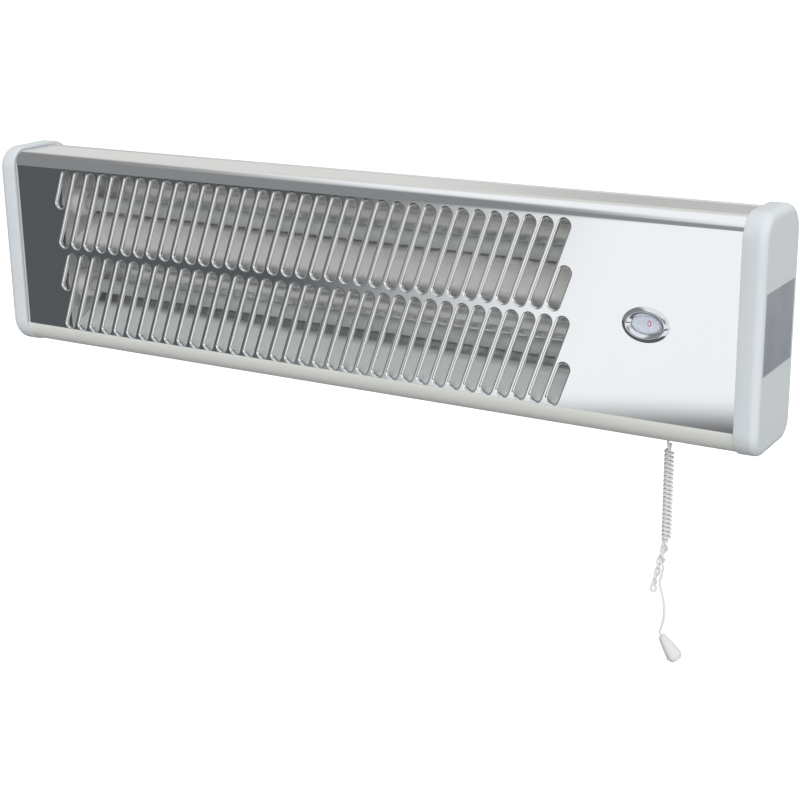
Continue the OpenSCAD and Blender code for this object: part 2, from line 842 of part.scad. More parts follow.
module switch_bracket() {
    top = shaft_z + switch_bracket_top;
    low = shaft_z + switch_bracket_low;
    x0 = switch_x - switch_bracket_w / 2;
    x1 = switch_x + switch_bracket_w / 2;
    t = switch_bracket_t;
    color(zinc) difference() {
        union() {
            block([x0, plate_front_y, low], [x1, plate_front_y + t, top]);
            for (z = [low, top - t]) block([x0, plate_front_y, z], [x1, rear_inner_y, z + t]);
            block([x0, rear_inner_y - t, top - t], [x1, rear_inner_y, top + 10]);
            block([x0, rear_inner_y - t, low - 10], [x1, rear_inner_y, low + t]);
        }
        block(
            [blade_x[0] - 2.4, blade_y - 2.4, low - 1], [blade_x[3] + 2.4, blade_y + 2.4, low + t + 1]
        );
        bar_y(switch_x, shaft_z, bore_r, plate_front_y - 1, plate_front_y + t + 1);
        for (p = switch_screw_places)
            bar_y(p[0], p[1], screw_r, rear_inner_y - 3, rear_inner_y + 1);
    }
}

module switch_bracket_screws() {
    color(zinc) for (p = switch_screw_places) screw_y(p[0], p[1], back_y, 5);
}

module switch_body() {
    h = body_w / 2;
    color(dark_plastic) difference() {
        block(
            [switch_x - h, body_front_y, shaft_z - h],
            [switch_x + h, body_back_y, shaft_z + h]
        );
        bar_y(switch_x, shaft_z, cavity_r, body_front_y - 1, cavity_back_y);
        bar_y(switch_x, shaft_z, bore_r, body_front_y, body_back_y - 0.4);
        for (x = blade_x)
            block([x - 1.6, blade_y - 0.4, blade_z - 1], [x + 1.6, blade_y + 0.4, shaft_z - 11]);
    }
}

// Three lobes that press the contacts in turn
module switch_cam() {
    color("#e6dfc8") along_y(cavity_back_y - 0.4 - cam_t, cavity_back_y - 0.4)
        translate([switch_x, shaft_z]) difference() {
            union() {
                circle(r = cam_r - 1.5);
                for (a = [0, 120, 240]) rotate(a) translate([0, cam_r - 3]) circle(r = 3);
            }
            circle(r = shaft_r);
        }
}

module switch_contacts() {
    color(brass) for (x = blade_x)
        block([x - 1.6, blade_y - 0.4, blade_z - blade_l], [x + 1.6, blade_y + 0.4, shaft_z - 11]);
}

module switch_shaft() {
    color(brass) bar_y(switch_x, shaft_z, shaft_r, shaft_start_y, shaft_end_y);
}

module indicator_wheel() {
    color("#eceff1") difference() {
        union() {
            bar_y(switch_x, shaft_z, wheel_r, wheel_front_y, wheel_front_y + wheel_t);
            bar_y(switch_x, shaft_z, wheel_hub_r, wheel_front_y + 1, ratchet_front_y);
        }
        bar_y(switch_x, shaft_z, shaft_r, wheel_front_y - 1, ratchet_front_y + 1);
    }
}

// Three teeth, one for each place of the switch
module ratchet_wheel() {
    color(brass) along_y(ratchet_front_y, ratchet_front_y + ratchet_t)
        translate([switch_x, shaft_z]) difference() {
            polygon([
                for (tooth = [0 : 2], s = [0 : 8])
                    (ratchet_root_r + (ratchet_r - ratchet_root_r) * s / 8)
                    * [cos(120 * tooth + 114 * s / 8), sin(120 * tooth + 114 * s / 8)]
            ]);
            circle(r = shaft_r);
        }
}

module pull_drum() {
    groove_r = drum_r - cord_r - 0.05;
    color("#d8d8d4") difference() {
        union() {
            bar_y(switch_x, shaft_z, front_flange_r, drum_front_y, drum_front_y + flange_t);
            bar_y(switch_x, shaft_z, groove_r, drum_front_y + 0.5, drum_back_y - 0.5);
            bar_y(switch_x, shaft_z, back_flange_r, drum_back_y - flange_t, drum_back_y);
            bar_y(switch_x, shaft_z, bore_r + 1, drum_back_y - 0.5, plate_front_y - 0.3);
        }
        bar_y(switch_x, shaft_z, bore_r, drum_front_y - 1, plate_front_y);
    }
}

// A spring finger on the drum's flange that drives the ratchet wheel
module drive_pawl() {
    color(zinc) along_y(ratchet_front_y + 0.2, drum_front_y)
        translate([switch_x, shaft_z]) rotate(110) polygon([
            [8.9, -6.4], [9.9, -5.6], [9.8, -1.2], [11.2, -0.8], [11.5, 0.6], [10.4, 1.3],
            [8.8, 0.4], [8.85, -1]
        ]);
}

module return_spring() {
    per_turn = 10;
    steps = spring_turns * per_turn;
    coil = [
        for (i = [0 : steps])
            let (a = 360 * i / per_turn)
            [
                switch_x + spring_r * cos(a),
                spring_start_y + spring_pitch * i / per_turn,
                shaft_z + spring_r * sin(a)
            ]
    ];
    last = coil[steps];
    tail = [
        last + [0.05, 0.05, 0.8], last + [0.1, 0.05, 3.6], last + [0.1, 0.2, 4.4],
        [last[0] + 0.1, plate_front_y - 0.4, last[2] + 4.6],
        [last[0] + 0.1, plate_front_y, last[2] + 4.6]
    ];
    color(zinc) swept_tube(concat(coil, tail), spring_wire_r, 6);
}

// Pull cord

module cord_wrap() {
    start = wrap_gap / drum_r * 180 / PI;
    color(cord_white) translate([switch_x, cord_y, shaft_z]) rotate([90, 0, 0]) rotate(start)
        rotate_extrude(angle = 235) translate([drum_r, 0]) circle(r = cord_r, $fn = 16);
}

module cord_bush() {
    color("#e9e9e6") translate([cord_x, cord_y, 0]) difference() {
        union() {
            translate([0, 0, bush_low_z]) cylinder(r = bush_flange_r, h = bush_flange_t);
            translate([0, 0, -case_bottom - 0.1]) cylinder(r = bush_r, h = 5);
        }
        translate([0, 0, bush_low_z - 1]) cylinder(r = bush_bore_r, h = 12);
    }
}

module cord_lead() {
    color(cord_white) translate([cord_x, cord_y, hang_z + joint_gap])
        cylinder(r = cord_r, h = shaft_z - hang_z - joint_gap - 0.1, $fn = 16);
}

// Middle of the twist: s runs from 0 at its top to 1 at its lower end
function twist_mid(s) = [
    wind_x + (twist_end_x - wind_x) * s, 0, twist_top + (twist_low - twist_top) * s
];

// A soft step from 0 to 1 as t passes from 0 to 1
function ease(t) = let (u = max(0, min(1, t))) u * u * (3 - 2 * u);

// Distance of the two outer strands from the middle of the twist
function strand_r(s) =
    let (wide = 1.6 - 0.65 * ease((s - 0.54) / 0.14))
    s < 0.1 ? core_half + (wide - core_half) * ease(0.5 + 5 * s)
    : s > 0.86 ? wide + (0.8 - wide) * ease((s - 0.86) / 0.14)
    : wide;

// A point of the twist at angle a before it turns, r from the middle
function twisted(s, a, r) =
    let (b = a + 360 * twist_turns * s) twist_mid(s) + r * [cos(b), sin(b), 0];

// The third strand goes in to the middle of the twist and comes out on the right
function third_strand(s) =
    s < 0.2 ? twisted(s, 188, 1.5 * (1 - ease(s / 0.2)))
    : twisted(s, 0, 2.6 * ease((s - 0.43) / 0.14));

core_z = [for (i = [0 : core_rings]) core_top + (wind_low - core_top) * i / core_rings];
twist_steps = [for (i = [0 : twist_rings]) i / twist_rings];

// The cord down the core and the twist, round the eye and back up, over the top, round and
// round down the outside, and through the twist to the tail
winding_path = concat(
    lead_points,
    [for (z = core_z) [wind_x, -core_half, z]],
    [for (s = twist_steps) twisted(s, -90, strand_r(s))],
    [
        for (a = [-36 : -36 : -324])
            eye + eye_half_w * sin(a) * [cos(eye_turn), sin(eye_turn), 0]
            + [0, 0, eye_half_h * cos(a)]
    ],
    [for (i = [twist_rings : -1 : 0]) twisted(twist_steps[i], 90, strand_r(twist_steps[i]))],
    [for (i = [core_rings : -1 : 0]) [wind_x, core_half, core_z[i]]],
    over_points,
    [
        for (i = [1 : wind_turns * wind_rings])
            let (a = 90 + 360 * i / wind_rings)
            [wind_x + wind_rx * cos(a), wind_ry * sin(a), wind_top - wind_pitch * i / wind_rings]
    ],
    [for (i = [1 : 15]) third_strand(twist_steps[i])],
    leave_points
);

// Least distance between points of a path that are more than a few steps apart along it
function along(p) = [
    for (i = 0, s = 0; i < len(p); i = i + 1, s = s + (i < len(p) ? norm(p[i] - p[i - 1]) : 0)) s
];
function least_gap(p, r) =
    let (s = along(p))
    min([
        for (i = [0 : len(p) - 1])
            let (near = [for (j = [i + 1 : 1 : len(p) - 1]) if (s[j] - s[i] > 4.2 * r + 1) norm(p[i] - p[j])])
            len(near) > 0 ? min(near) : 1000
    ]) - 2 * r;

module cord_winding() {
    echo(str("least gap of the winding to itself, mm: ", least_gap(winding_path, cord_r)));
    color(cord_white) translate([cord_x, cord_y, hang_z]) swept_tube(winding_path, cord_r, 6);
}

module cord_tail() {
    color(cord_white) translate([cord_x, cord_y, hang_z]) swept_tube(tail_points, cord_r, 8);
}

// An eight-sided bell that widens downwards, then a short skirt drawn in
module pull_knob() {
    turn = atan2(knob_lean[0], -knob_lean[2]);
    color(cord_white) translate([cord_x, cord_y, hang_z] + tail_points[len(tail_points) - 1])
        rotate([0, 180 - turn, 0]) rotate(22.5) {
            cylinder(d1 = knob_top_d, d2 = knob_low_d, h = knob_l - knob_skirt_l, $fn = 8);
            translate([0, 0, knob_l - knob_skirt_l])
                cylinder(d1 = knob_low_d, d2 = knob_end_d, h = knob_skirt_l, $fn = 8);
        }
}

// Supply and wiring

gland_body_r = cable_d / 2 + 2.4;
gland_flange_r = gland_body_r + 2.2;
gland_out = 9;
gland_in = 7;

module cable_gland() {
    color(dark_plastic) difference() {
        union() {
            bar_y(gland_x, gland_z, gland_body_r, rear_inner_y - gland_in, back_y + gland_out);
            bar_y(gland_x, gland_z, gland_flange_r, back_y, back_y + 3);
            bar_y(gland_x, gland_z, gland_flange_r, rear_inner_y - 4, rear_inner_y);
        }
        bar_y(gland_x, gland_z, cable_d / 2 + 0.1, rear_inner_y - gland_in - 1, back_y + gland_out + 1);
    }
}

module terminal_block() {
    color("#f4f2ea") difference() {
        block(
            [block_x - block_w / 2, rear_inner_y - block_d, block_z - block_h / 2],
            [block_x + block_w / 2, rear_inner_y, block_z + block_h / 2]
        );
        for (i = [-1, 1], z = [-4, 4])
            bar_y(
                block_x + i * pole_pitch, block_z + z, 1.6, rear_inner_y - block_d - 1,
                rear_inner_y - 4
            );
        bar_y(block_x, block_z, screw_r, rear_inner_y - 6, rear_inner_y + 1);
    }
}

// The clamp screws of the terminal block, and the screw that holds it from behind
module terminal_screws() {
    color(brass) for (i = [-1, 1], z = [-4, 4])
        bar_y(
            block_x + i * pole_pitch, block_z + z, 1.5, rear_inner_y - block_d + 1,
            rear_inner_y - 4
        );
    color(zinc) screw_y(block_x, block_z, back_y, 5);
}

earth_r = 2;
earth_l = 9;

module earth_stud() {
    color(brass) {
        bar_y(earth_x, earth_z, earth_r, rear_inner_y - earth_l, back_y + 0.01);
        bar_y(earth_x, earth_z, 0.9 * nut_r, back_y, back_y + low_head_t);
        translate([earth_x, rear_inner_y, earth_z]) rotate([90, 0, 0])
            cylinder(r = nut_r, h = nut_t, $fn = 6);
    }
}

// A wire along a route, in one insulated tube
module wire(points, colour) {
    color(colour) swept_tube(eased(points, 1.2 * wire_turn), wire_r, 6);
}

block_top_z = block_z + block_h / 2;
block_wire_y = rear_inner_y - 1.2 * wire_turn;
clear_y = rear_inner_y - 1.7 * wire_sag;
right_stud_x = right_bracket_x + terminal_end;
left_stud_x = left_bracket_x - terminal_end;
blade_tip_z = blade_z - blade_l;

module live_wire() {
    x = block_x + pole_pitch;
    wire([
        [x, block_wire_y, block_top_z], [x, block_wire_y, block_top_z + 1.2 * wire_turn],
        [x + wire_turn, clear_y, block_top_z + 0.8 * wire_turn],
        [x + wire_turn, clear_y, blade_tip_z - 0.8 * wire_sag],
        [gland_x - wire_sag, clear_y, blade_tip_z - wire_sag],
        [blade_x[3], blade_y, blade_tip_z - 0.9 * wire_sag], [blade_x[3], blade_y, blade_tip_z]
    ], "#8a5a3a");
}

module neutral_wire() {
    x = block_x - pole_pitch;
    bend_x = right_bracket_x + 1.8 * wire_sag;
    wire([
        [x, block_wire_y, block_top_z], [x, block_wire_y, block_top_z + 1.2 * wire_turn],
        [bend_x, block_wire_y, block_top_z + 0.8 * wire_turn], [bend_x, wire_y, 0],
        [left_stud_x - 0.6 * wire_turn, wire_y, 0],
        [left_stud_x - wire_turn, tube_y + 0.4 * wire_turn, wire_sag - tube_z],
        [left_stud_x - wire_turn, tube_y, -tube_z], [left_stud_x, tube_y, -tube_z]
    ], "#4a78b8");
}

module jumper_wire() {
    x = left_stud_x - 0.8 * wire_sag;
    end_z = 0.9 * wire_turn - tube_z;
    wire([
        [left_stud_x, tube_y, tube_z], [x, tube_y, tube_z], [x, tube_y - 0.8 * wire_turn, 0],
        [x, tube_y - 1.2 * wire_turn, 1.2 * wire_sag - tube_z],
        [left_stud_x - 0.6 * wire_turn, tube_y - wire_turn, end_z],
        [left_stud_x + 0.4 * wire_turn, tube_y - 0.6 * wire_turn, end_z]
    ], "#4a78b8");
}

module upper_wire() {
    wire([
        [right_stud_x, tube_y, tube_z], [right_stud_x + wire_turn, tube_y, tube_z],
        [right_stud_x + wire_turn, tube_y + 1.2 * wire_turn, -tube_z - 2 * wire_sag],
        [blade_x[0], blade_y, blade_tip_z - 1.1 * wire_sag], [blade_x[0], blade_y, blade_tip_z]
    ], "#c8503c");
}

module lower_wire() {
    wire([
        [right_stud_x, tube_y, -tube_z], [right_stud_x + 0.32 * wire_turn, tube_y, -tube_z],
        [right_stud_x + 0.32 * wire_turn, tube_y + 0.4 * wire_turn, -tube_z - 2.6 * wire_sag],
        [blade_x[1], blade_y, blade_tip_z - 1.5 * wire_sag], [blade_x[1], blade_y, blade_tip_z]
    ], "#3c3c3c");
}

module earth_wire() {
    low_z = 0.76 * wire_turn - case_bottom + sheet;
    stud_y = rear_inner_y - 1.24 * wire_turn;
    over_y = rear_inner_y - 1.4 * wire_sag;
    wire([
        [earth_x, stud_y, earth_z - earth_r], [earth_x, stud_y, low_z],
        [gland_x - 0.8 * wire_sag, stud_y, low_z], [gland_x, over_y, low_z + 1.4 * wire_sag],
        [gland_x, over_y, gland_z + 1.8 * wire_sag],
        [block_x, rear_inner_y - 1.3 * wire_sag, block_z - 1.9 * wire_sag],
        [block_x, block_wire_y, block_z - 1.6 * wire_sag],
        [block_x, block_wire_y, block_z - block_h / 2]
    ], "#8fae3a");
}

// Wall mount

// A round-ended arm from the plate at y0 to the pivot, in Y and Z
module arm_outline(y0, r) {
    translate([-pivot_y, 0]) circle(r = r);
    polygon([[y0, -r], [y0, r], [-pivot_y, r], [-pivot_y, -r]]);
}

module wall_bracket() {
    color(zinc) difference() {
        union() {
            block(
                [-arm_out_x, -wall_plate_t, -wall_plate_h / 2], [arm_out_x, 0, wall_plate_h / 2]
            );
            along_x(arm_in_x, arm_out_x) arm_outline(0, arm_r);
            along_x(-arm_out_x, -arm_in_x) arm_outline(0, arm_r);
        }
        for (s = [-1, 1]) {
            bar_y(s * wall_hole_pitch / 2, 0, wall_hole_d / 2, -wall_plate_t - 1, 1);
        }
        bar_x(-pivot_y, 0, pivot_bore_r, -arm_out_x - 1, arm_out_x + 1);
    }
}

module hinge_bracket() {
    color(zinc) difference() {
        union() {
            block([-ear_out_x, back_y, -saddle_h / 2], [ear_out_x, back_y + saddle_t, saddle_h / 2]);
            along_x(ear_in_x, ear_out_x) arm_outline(back_y, ear_r);
            along_x(-ear_out_x, -ear_in_x) arm_outline(back_y, ear_r);
        }
        bar_x(-pivot_y, 0, pivot_bore_r, -ear_out_x - 1, ear_out_x + 1);
        for (p = saddle_screw_places)
            bar_y(p[0], p[1], screw_hole_r, back_y - 1, back_y + saddle_t + 1);
    }
}

module hinge_bracket_screws() {
    color(zinc) for (p = saddle_screw_places) screw_y(p[0], p[1], back_y + saddle_t, 6.5);
}

// One on each side, from the head outside the arm to the nut inside the ear
module pivot_screws() {
    head_x = arm_out_x + arm_gap + washer_t;
    color(zinc) for (s = [0, 1]) mirror([s, 0, 0]) {
        bar_x(-pivot_y, 0, pivot_r, ear_in_x - hex_t - 1, head_x + 0.01);
        translate([head_x, -pivot_y, 0]) rotate([0, 90, 0]) cylinder(r = hex_r, h = hex_t, $fn = 6);
    }
}

module pivot_washers() {
    washer_x = arm_out_x + arm_gap;
    color(zinc) for (s = [0, 1]) mirror([s, 0, 0]) difference() {
        bar_x(-pivot_y, 0, washer_r, washer_x, washer_x + washer_t);
        bar_x(-pivot_y, 0, pivot_bore_r, washer_x - 1, washer_x + washer_t + 1);
    }
}

module pivot_nuts() {
    color(zinc) for (s = [0, 1]) mirror([s, 0, 0]) difference() {
        translate([ear_in_x - hex_t, -pivot_y, 0]) rotate([0, 90, 0])
            cylinder(r = hex_r, h = hex_t, $fn = 6);
        bar_x(-pivot_y, 0, pivot_bore_r, ear_in_x - hex_t - 1, ear_in_x + 1);
    }
}

front_panel();
rear_casing();
left_end_cap();
right_end_cap();
rating_plate();
cap_screws();
casing_screws();
left_tube_bracket();
right_tube_bracket();
bracket_screws();
upper_reflector();
lower_reflector();
upper_quartz_tube();
lower_quartz_tube();
upper_heating_coil();
lower_heating_coil();
upper_left_ceramic();
upper_right_ceramic();
lower_left_ceramic();
lower_right_ceramic();
left_tube_terminals();
right_tube_terminals();
window_bezel();
window_lens();
switch_bracket();
switch_bracket_screws();
switch_body();
switch_cam();
switch_contacts();
switch_shaft();
indicator_wheel();
ratchet_wheel();
pull_drum();
drive_pawl();
return_spring();
cord_wrap();
cord_bush();
cord_lead();
cord_winding();
cord_tail();
pull_knob();
terminal_block();
terminal_screws();
cable_gland();
earth_stud();
live_wire();
neutral_wire();
jumper_wire();
upper_wire();
lower_wire();
earth_wire();
hinge_bracket();
hinge_bracket_screws();
pivot_screws();
pivot_washers();
pivot_nuts();
wall_bracket();
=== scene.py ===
"""The infrared wall heater's looks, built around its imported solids. Sizes here are millimetres,
turned into metres where each mesh is made."""

import math

import bpy
import bmesh
import numpy as np
from mathutils import Matrix, Vector
from mathutils.geometry import tessellate_polygon


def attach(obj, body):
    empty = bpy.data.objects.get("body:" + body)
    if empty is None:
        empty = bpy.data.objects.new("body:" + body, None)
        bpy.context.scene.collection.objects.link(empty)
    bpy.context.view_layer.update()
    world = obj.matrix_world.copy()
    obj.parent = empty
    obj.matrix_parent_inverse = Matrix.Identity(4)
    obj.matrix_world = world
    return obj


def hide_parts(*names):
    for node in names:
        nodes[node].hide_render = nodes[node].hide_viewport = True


MM = 0.001


def corner_rows(front, back, bottom, top, radii):
    """Each corner's centre in y and z, radius, and first and last angle, from the top front."""
    r = radii
    return (
        (front + r[0], top - r[0], r[0], 90, 180),
        (front + r[1], bottom + r[1], r[1], 180, 270),
        (back - r[2], bottom + r[2], r[2], 270, 360),
        (back - r[3], top - r[3], r[3], 0, 90),
    )


# Casing
CASE_L = 478.0
FRONT_Y, BACK_Y, SEAM_Y = -91.5, -43.2, -60.5
TOP_Z, BOTTOM_Z = 58.8, -64.5
SHEET = 0.8
SHEET_END_X = 244.0
FRONT_TOP_R, FRONT_BOTTOM_R, BACK_BOTTOM_R, BACK_TOP_R = 8.2, 11.6, 9.0, 14.0
CORNERS = corner_rows(FRONT_Y, BACK_Y, BOTTOM_Z, TOP_Z,
                      (FRONT_TOP_R, FRONT_BOTTOM_R, BACK_BOTTOM_R, BACK_TOP_R))
CASING_SCREWS_X, CASING_SCREW_Y, SCREW_HOLE_R = (-160.0, 0.0, 150.0), -65.5, 1.75
# A narrow face beside each bend of the front panel keeps the flats flat in the light
BEND_STEPS, BEND_SUPPORT = 24, 0.14

# End caps, which stand out round the casing by a different width on each side
CAP_L, CAP_WALL, CAP_EDGE_R, CAP_GAP, CAP_RIM_R = 12.3, 2.5, 4.5, 0.15, 0.35
CAP_FRONT, CAP_OVER, CAP_UNDER, CAP_BEHIND = 2.0, 2.0, 1.3, 3.6
CAP_CORNERS = corner_rows(FRONT_Y - CAP_FRONT, BACK_Y + CAP_BEHIND, BOTTOM_Z - CAP_UNDER,
                          TOP_Z + CAP_OVER, (13.5, 15.5, 11.45, 16.8))
BOSS_SIZE, BOSS_OUT, BOSS_IN, BOSS_Z = (18.4, 12.0, 12.0), 0.2, 5.9, 30.0

# Grille. A hole in the panel is wider than its slot by the lip's bend and a narrow edge
SLOT_COUNT, SLOT_PITCH, SLOT_W, SLOT_H, SLOT_LEAN = 34, 10.0, 6.2, 48.4, 15.5
HALF_SLOT_H, ROW_PITCH, GRILLE_X, GRILLE_Z = 23.4, 52.2, -30.0, -1.0
LIP_D, LIP_R, LIP_T, LIP_EDGE = 2.6, 1.1, 0.8, 0.12
ROW_HALF = (SLOT_COUNT + 1) / 2 * SLOT_PITCH
LEAN_ANGLE = math.atan2(SLOT_LEAN, SLOT_H - SLOT_W)

# Window and switch. A profile's rows are half width, half height and depth behind the face
SWITCH_X, WINDOW_Z, SHAFT_Z = 189.5, -1.0, -16.0
BEZEL_W, BEZEL_H, BEZEL_RIM = 26.2, 18.9, 1.8
BEZEL_PROFILE = (
    (13.1, 9.45, 0.0), (13.08, 9.43, -0.14), (12.95, 9.3, -0.34), (12.6, 8.95, -0.68),
    (12.1, 8.45, -1.1), (11.65, 8.0, -1.44), (11.25, 7.62, -1.66), (10.9, 7.3, -1.77),
    (10.55, 7.0, -1.8), (10.2, 6.7, -1.72), (9.8, 6.34, -1.5), (9.3, 5.9, -1.1),
    (8.85, 5.5, -0.72), (8.5, 5.2, -0.46), (8.25, 4.98, -0.3), (8.15, 4.9, -0.1),
    (8.15, 4.9, 2.0), (11.1, 7.45, 2.0), (11.1, 7.45, 0.0),
)
PANE_PROFILE = (
    (8.05, 4.8, 1.8), (8.05, 4.8, 0.95), (7.85, 4.62, 0.8), (7.6, 4.4, 0.78),
    (7.35, 4.18, 0.45), (7.15, 4.0, 0.34), (6.8, 3.7, 0.3),
)
WHEEL_FRONT_Y, NUMBER_R, NUMBER_X, NUMBER_SIZE = -88.5, 15.0, 1.0, 4.7

# Tubes, with their coils and brackets
TUBE_Y, TUBE_Z = -71.5, 26.4
COIL_START_X, COIL_END_X, COIL_TURNS, COIL_R, WIRE_R = -182.0, 122.0, 170.0, 2.65, 0.35
LEAD_START_X, LEAD_END_X, LEAD_R, LEAD_LAP = -208.0, 148.0, 0.6, 0.4
FLANGE_EXTRA, FLANGE_NEAR, FLANGE_WALL = 5.0, 6.0, 1.5

# Pull cord. The points are distances from where the cord leaves its bush
CORD_X, CORD_Y, HANG_Z, CORD_D, BUSH_R = 194.2, -66.5, -66.5, 1.5, 3.1
WIND_X, CORE_HALF, WIND_RX, WIND_RY = 0.9, 0.78, 2.0, 2.4
WIND_TOP, WIND_LOW, WIND_TURNS, WIND_RINGS = -8.6, -60.0, 21.25, 12
WIND_PITCH = (WIND_TOP - WIND_LOW) / WIND_TURNS
CORE_TOP, CORE_STEPS, TWIST_STEPS = WIND_TOP + 0.9, 20, 28
TWIST_TOP, TWIST_LOW, TWIST_END_X, TWIST_TURNS = WIND_LOW - 1.6, -87.8, -5.3, 1.837
EYE, EYE_HALF_W, EYE_HALF_H, EYE_TURN = (-5.5, 0.0, -90.4), 1.35, 1.95, math.radians(31.3)
STRAND_WIDE, STRAND_DRAWN_IN, STRAND_END = 1.6, 0.65, 0.8
THIRD_START, THIRD_OUT, THIRD_STEPS = 1.5, 2.6, 16
ENTRY = ((0, 0, -0.2), (0, 0, -1.4), (0, 0, -2.8), (0.15, -0.25, -4.4), (0.5, -0.62, -6.1))
OVER_TOP = (
    (0.9, 0.89, -6.5), (0.88, 1.22, -6.08), (0.84, 1.72, -5.93), (0.78, 2.22, -6.08),
    (0.69, 2.58, -6.5), (0.52, 2.7, -7.1), (0.2, 2.55, -7.9),
)
TAIL = (
    (-0.35, 0.1, -78), (-0.8, 0.2, -80.4), (-1.35, 0.15, -82.8), (-1.8, 0.1, -84.4),
    (-1.95, 0.1, -85.4), (-1.7, 0, -87.6), (-0.7, 0, -91.4), (0.4, 0, -95.2), (1.1, 0, -99),
    (1.4, 0, -102.8), (1.2, 0, -106.6), (0.6, 0, -110.2), (-0.2, 0, -113.4),
    (-0.7, 0, -115.2), (-0.75, 0, -116.3), (-0.4, 0, -117), (0.2, 0, -117.8),
)
# The knob's radius, and the distance along it from the end of the cord
KNOB_PROFILE = (
    (0.75, 0.25), (1.7, 0.0), (2.1, 0.15), (2.28, 0.5), (3.05, 4.0), (3.85, 8.4), (4.5, 12.0),
    (4.66, 12.65), (4.52, 13.2), (3.9, 14.4), (3.3, 15.45), (2.9, 15.75), (2.3, 15.8),
    (1.2, 15.8),
)
KNOB_SIDES, KNOB_STEPS, KNOB_FLATNESS = 8, 4, 0.88

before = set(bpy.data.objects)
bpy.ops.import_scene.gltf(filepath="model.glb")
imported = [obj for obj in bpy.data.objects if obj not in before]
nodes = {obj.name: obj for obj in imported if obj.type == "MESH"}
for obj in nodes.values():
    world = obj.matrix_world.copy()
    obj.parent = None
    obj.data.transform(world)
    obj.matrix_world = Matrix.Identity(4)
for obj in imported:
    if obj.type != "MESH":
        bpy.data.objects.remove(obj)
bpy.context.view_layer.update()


# Node helpers


class Tree:
    """A node tree with short ways to add and join nodes."""

    def __init__(self, tree):
        self.tree = tree

    def add(self, kind, **settings):
        node = self.tree.nodes.new(kind)
        for name, value in settings.items():
            setattr(node, name, value)
        return node

    def put(self, node, socket, value):
        target = node.inputs[socket]
        if isinstance(value, bpy.types.NodeSocket):
            self.tree.links.new(value, target)
        else:
            target.default_value = value

    def fill(self, node, **values):
        """Puts a value or a link in each named socket. A node's kind makes a new one."""
        if isinstance(node, str):
            node = self.add(node)
        for socket, value in values.items():
            self.put(node, socket.replace("_", " "), value)
        return node

    def math(self, operation, a, b=0.0, c=None):
        node = self.add("ShaderNodeMath", operation=operation)
        self.put(node, 0, a)
        self.put(node, 1, b)
        if c is not None:
            self.put(node, 2, c)
        return node.outputs[0]

    def step(self, value, low, high, out_low=0.0, out_high=1.0):
        node = self.add("ShaderNodeMapRange", interpolation_type="SMOOTHSTEP")
        self.fill(node, Value=value, From_Min=low, From_Max=high, To_Min=out_low, To_Max=out_high)
        return node.outputs["Result"]

    def mix(self, factor, a, b):
        """A colour between a and b."""
        node = self.add("ShaderNodeMix", data_type="RGBA")
        self.put(node, 0, factor)
        self.put(node, 6, a)
        self.put(node, 7, b)
        return node.outputs[2]

    def blend(self, factor, a, b):
        """A number between a and b."""
        node = self.add("ShaderNodeMix", data_type="FLOAT")
        self.put(node, 0, factor)
        self.put(node, 2, a)
        self.put(node, 3, b)
        return node.outputs[0]

    def height(self):
        """The Object coordinates' z, in metres."""
        place = self.add("ShaderNodeSeparateXYZ")
        self.put(place, 0, self.add("ShaderNodeTexCoord").outputs["Object"])
        return place.outputs["Z"]


def rgb(r, g, b):
    """A linear colour from 0-255 screen values."""
    def lin(v):
        v /= 255
        return v / 12.92 if v <= 0.04045 else ((v + 0.055) / 1.055) ** 2.4
    return (lin(r), lin(g), lin(b), 1.0)


def new_group(name, inputs, outputs, kind="ShaderNodeTree"):
    """A node group with named sockets, and its two end nodes."""
    group = bpy.data.node_groups.new(name, kind)
    for socket, socket_type, value in inputs:
        made = group.interface.new_socket(socket, in_out="INPUT", socket_type=socket_type)
        if value is not None:
            made.default_value = value
    for socket, socket_type in outputs:
        group.interface.new_socket(socket, in_out="OUTPUT", socket_type=socket_type)
    tree = Tree(group)
    return tree, tree.add("NodeGroupInput"), tree.add("NodeGroupOutput")


# Shader groups that several finishes use


def grain_group():
    """Two sizes of noise: slow clouds for tone, and a fine grain for the surface."""
    tree, given, out = new_group(
        "moulded_grain",
        [("Vector", "NodeSocketVector", None), ("Cloud Scale", "NodeSocketFloat", 30.0),
         ("Grain Scale", "NodeSocketFloat", 900.0)],
        [("Cloud", "NodeSocketFloat"), ("Grain", "NodeSocketFloat")],
    )
    for name, detail in (("Cloud", 3.0), ("Grain", 2.0)):
        noise = tree.fill("ShaderNodeTexNoise", Vector=given.outputs["Vector"],
                          Scale=given.outputs[name + " Scale"], Detail=detail)
        tree.put(out, name, noise.outputs["Fac"])
    return tree.tree


def brushed_group():
    """Long fine scratches: noise that is stretched along one direction."""
    tree, given, out = new_group(
        "brush_lines",
        [("Vector", "NodeSocketVector", None), ("Across", "NodeSocketVector", (1.0, 0.02, 0.02)),
         ("Scale", "NodeSocketFloat", 3000.0)],
        [("Lines", "NodeSocketFloat"), ("Streaks", "NodeSocketFloat")],
    )
    stretched = tree.add("ShaderNodeVectorMath", operation="MULTIPLY")
    tree.put(stretched, 0, given.outputs["Vector"])
    tree.put(stretched, 1, given.outputs["Across"])
    for name, part, detail in (("Lines", 1.0, 3.0), ("Streaks", 0.12, 4.0)):
        noise = tree.fill("ShaderNodeTexNoise", Vector=stretched.outputs[0], Detail=detail,
                          Scale=tree.math("MULTIPLY", given.outputs["Scale"], part))
        tree.put(out, name, noise.outputs["Fac"])
    return tree.tree


GRAIN = grain_group()
BRUSHED = brushed_group()


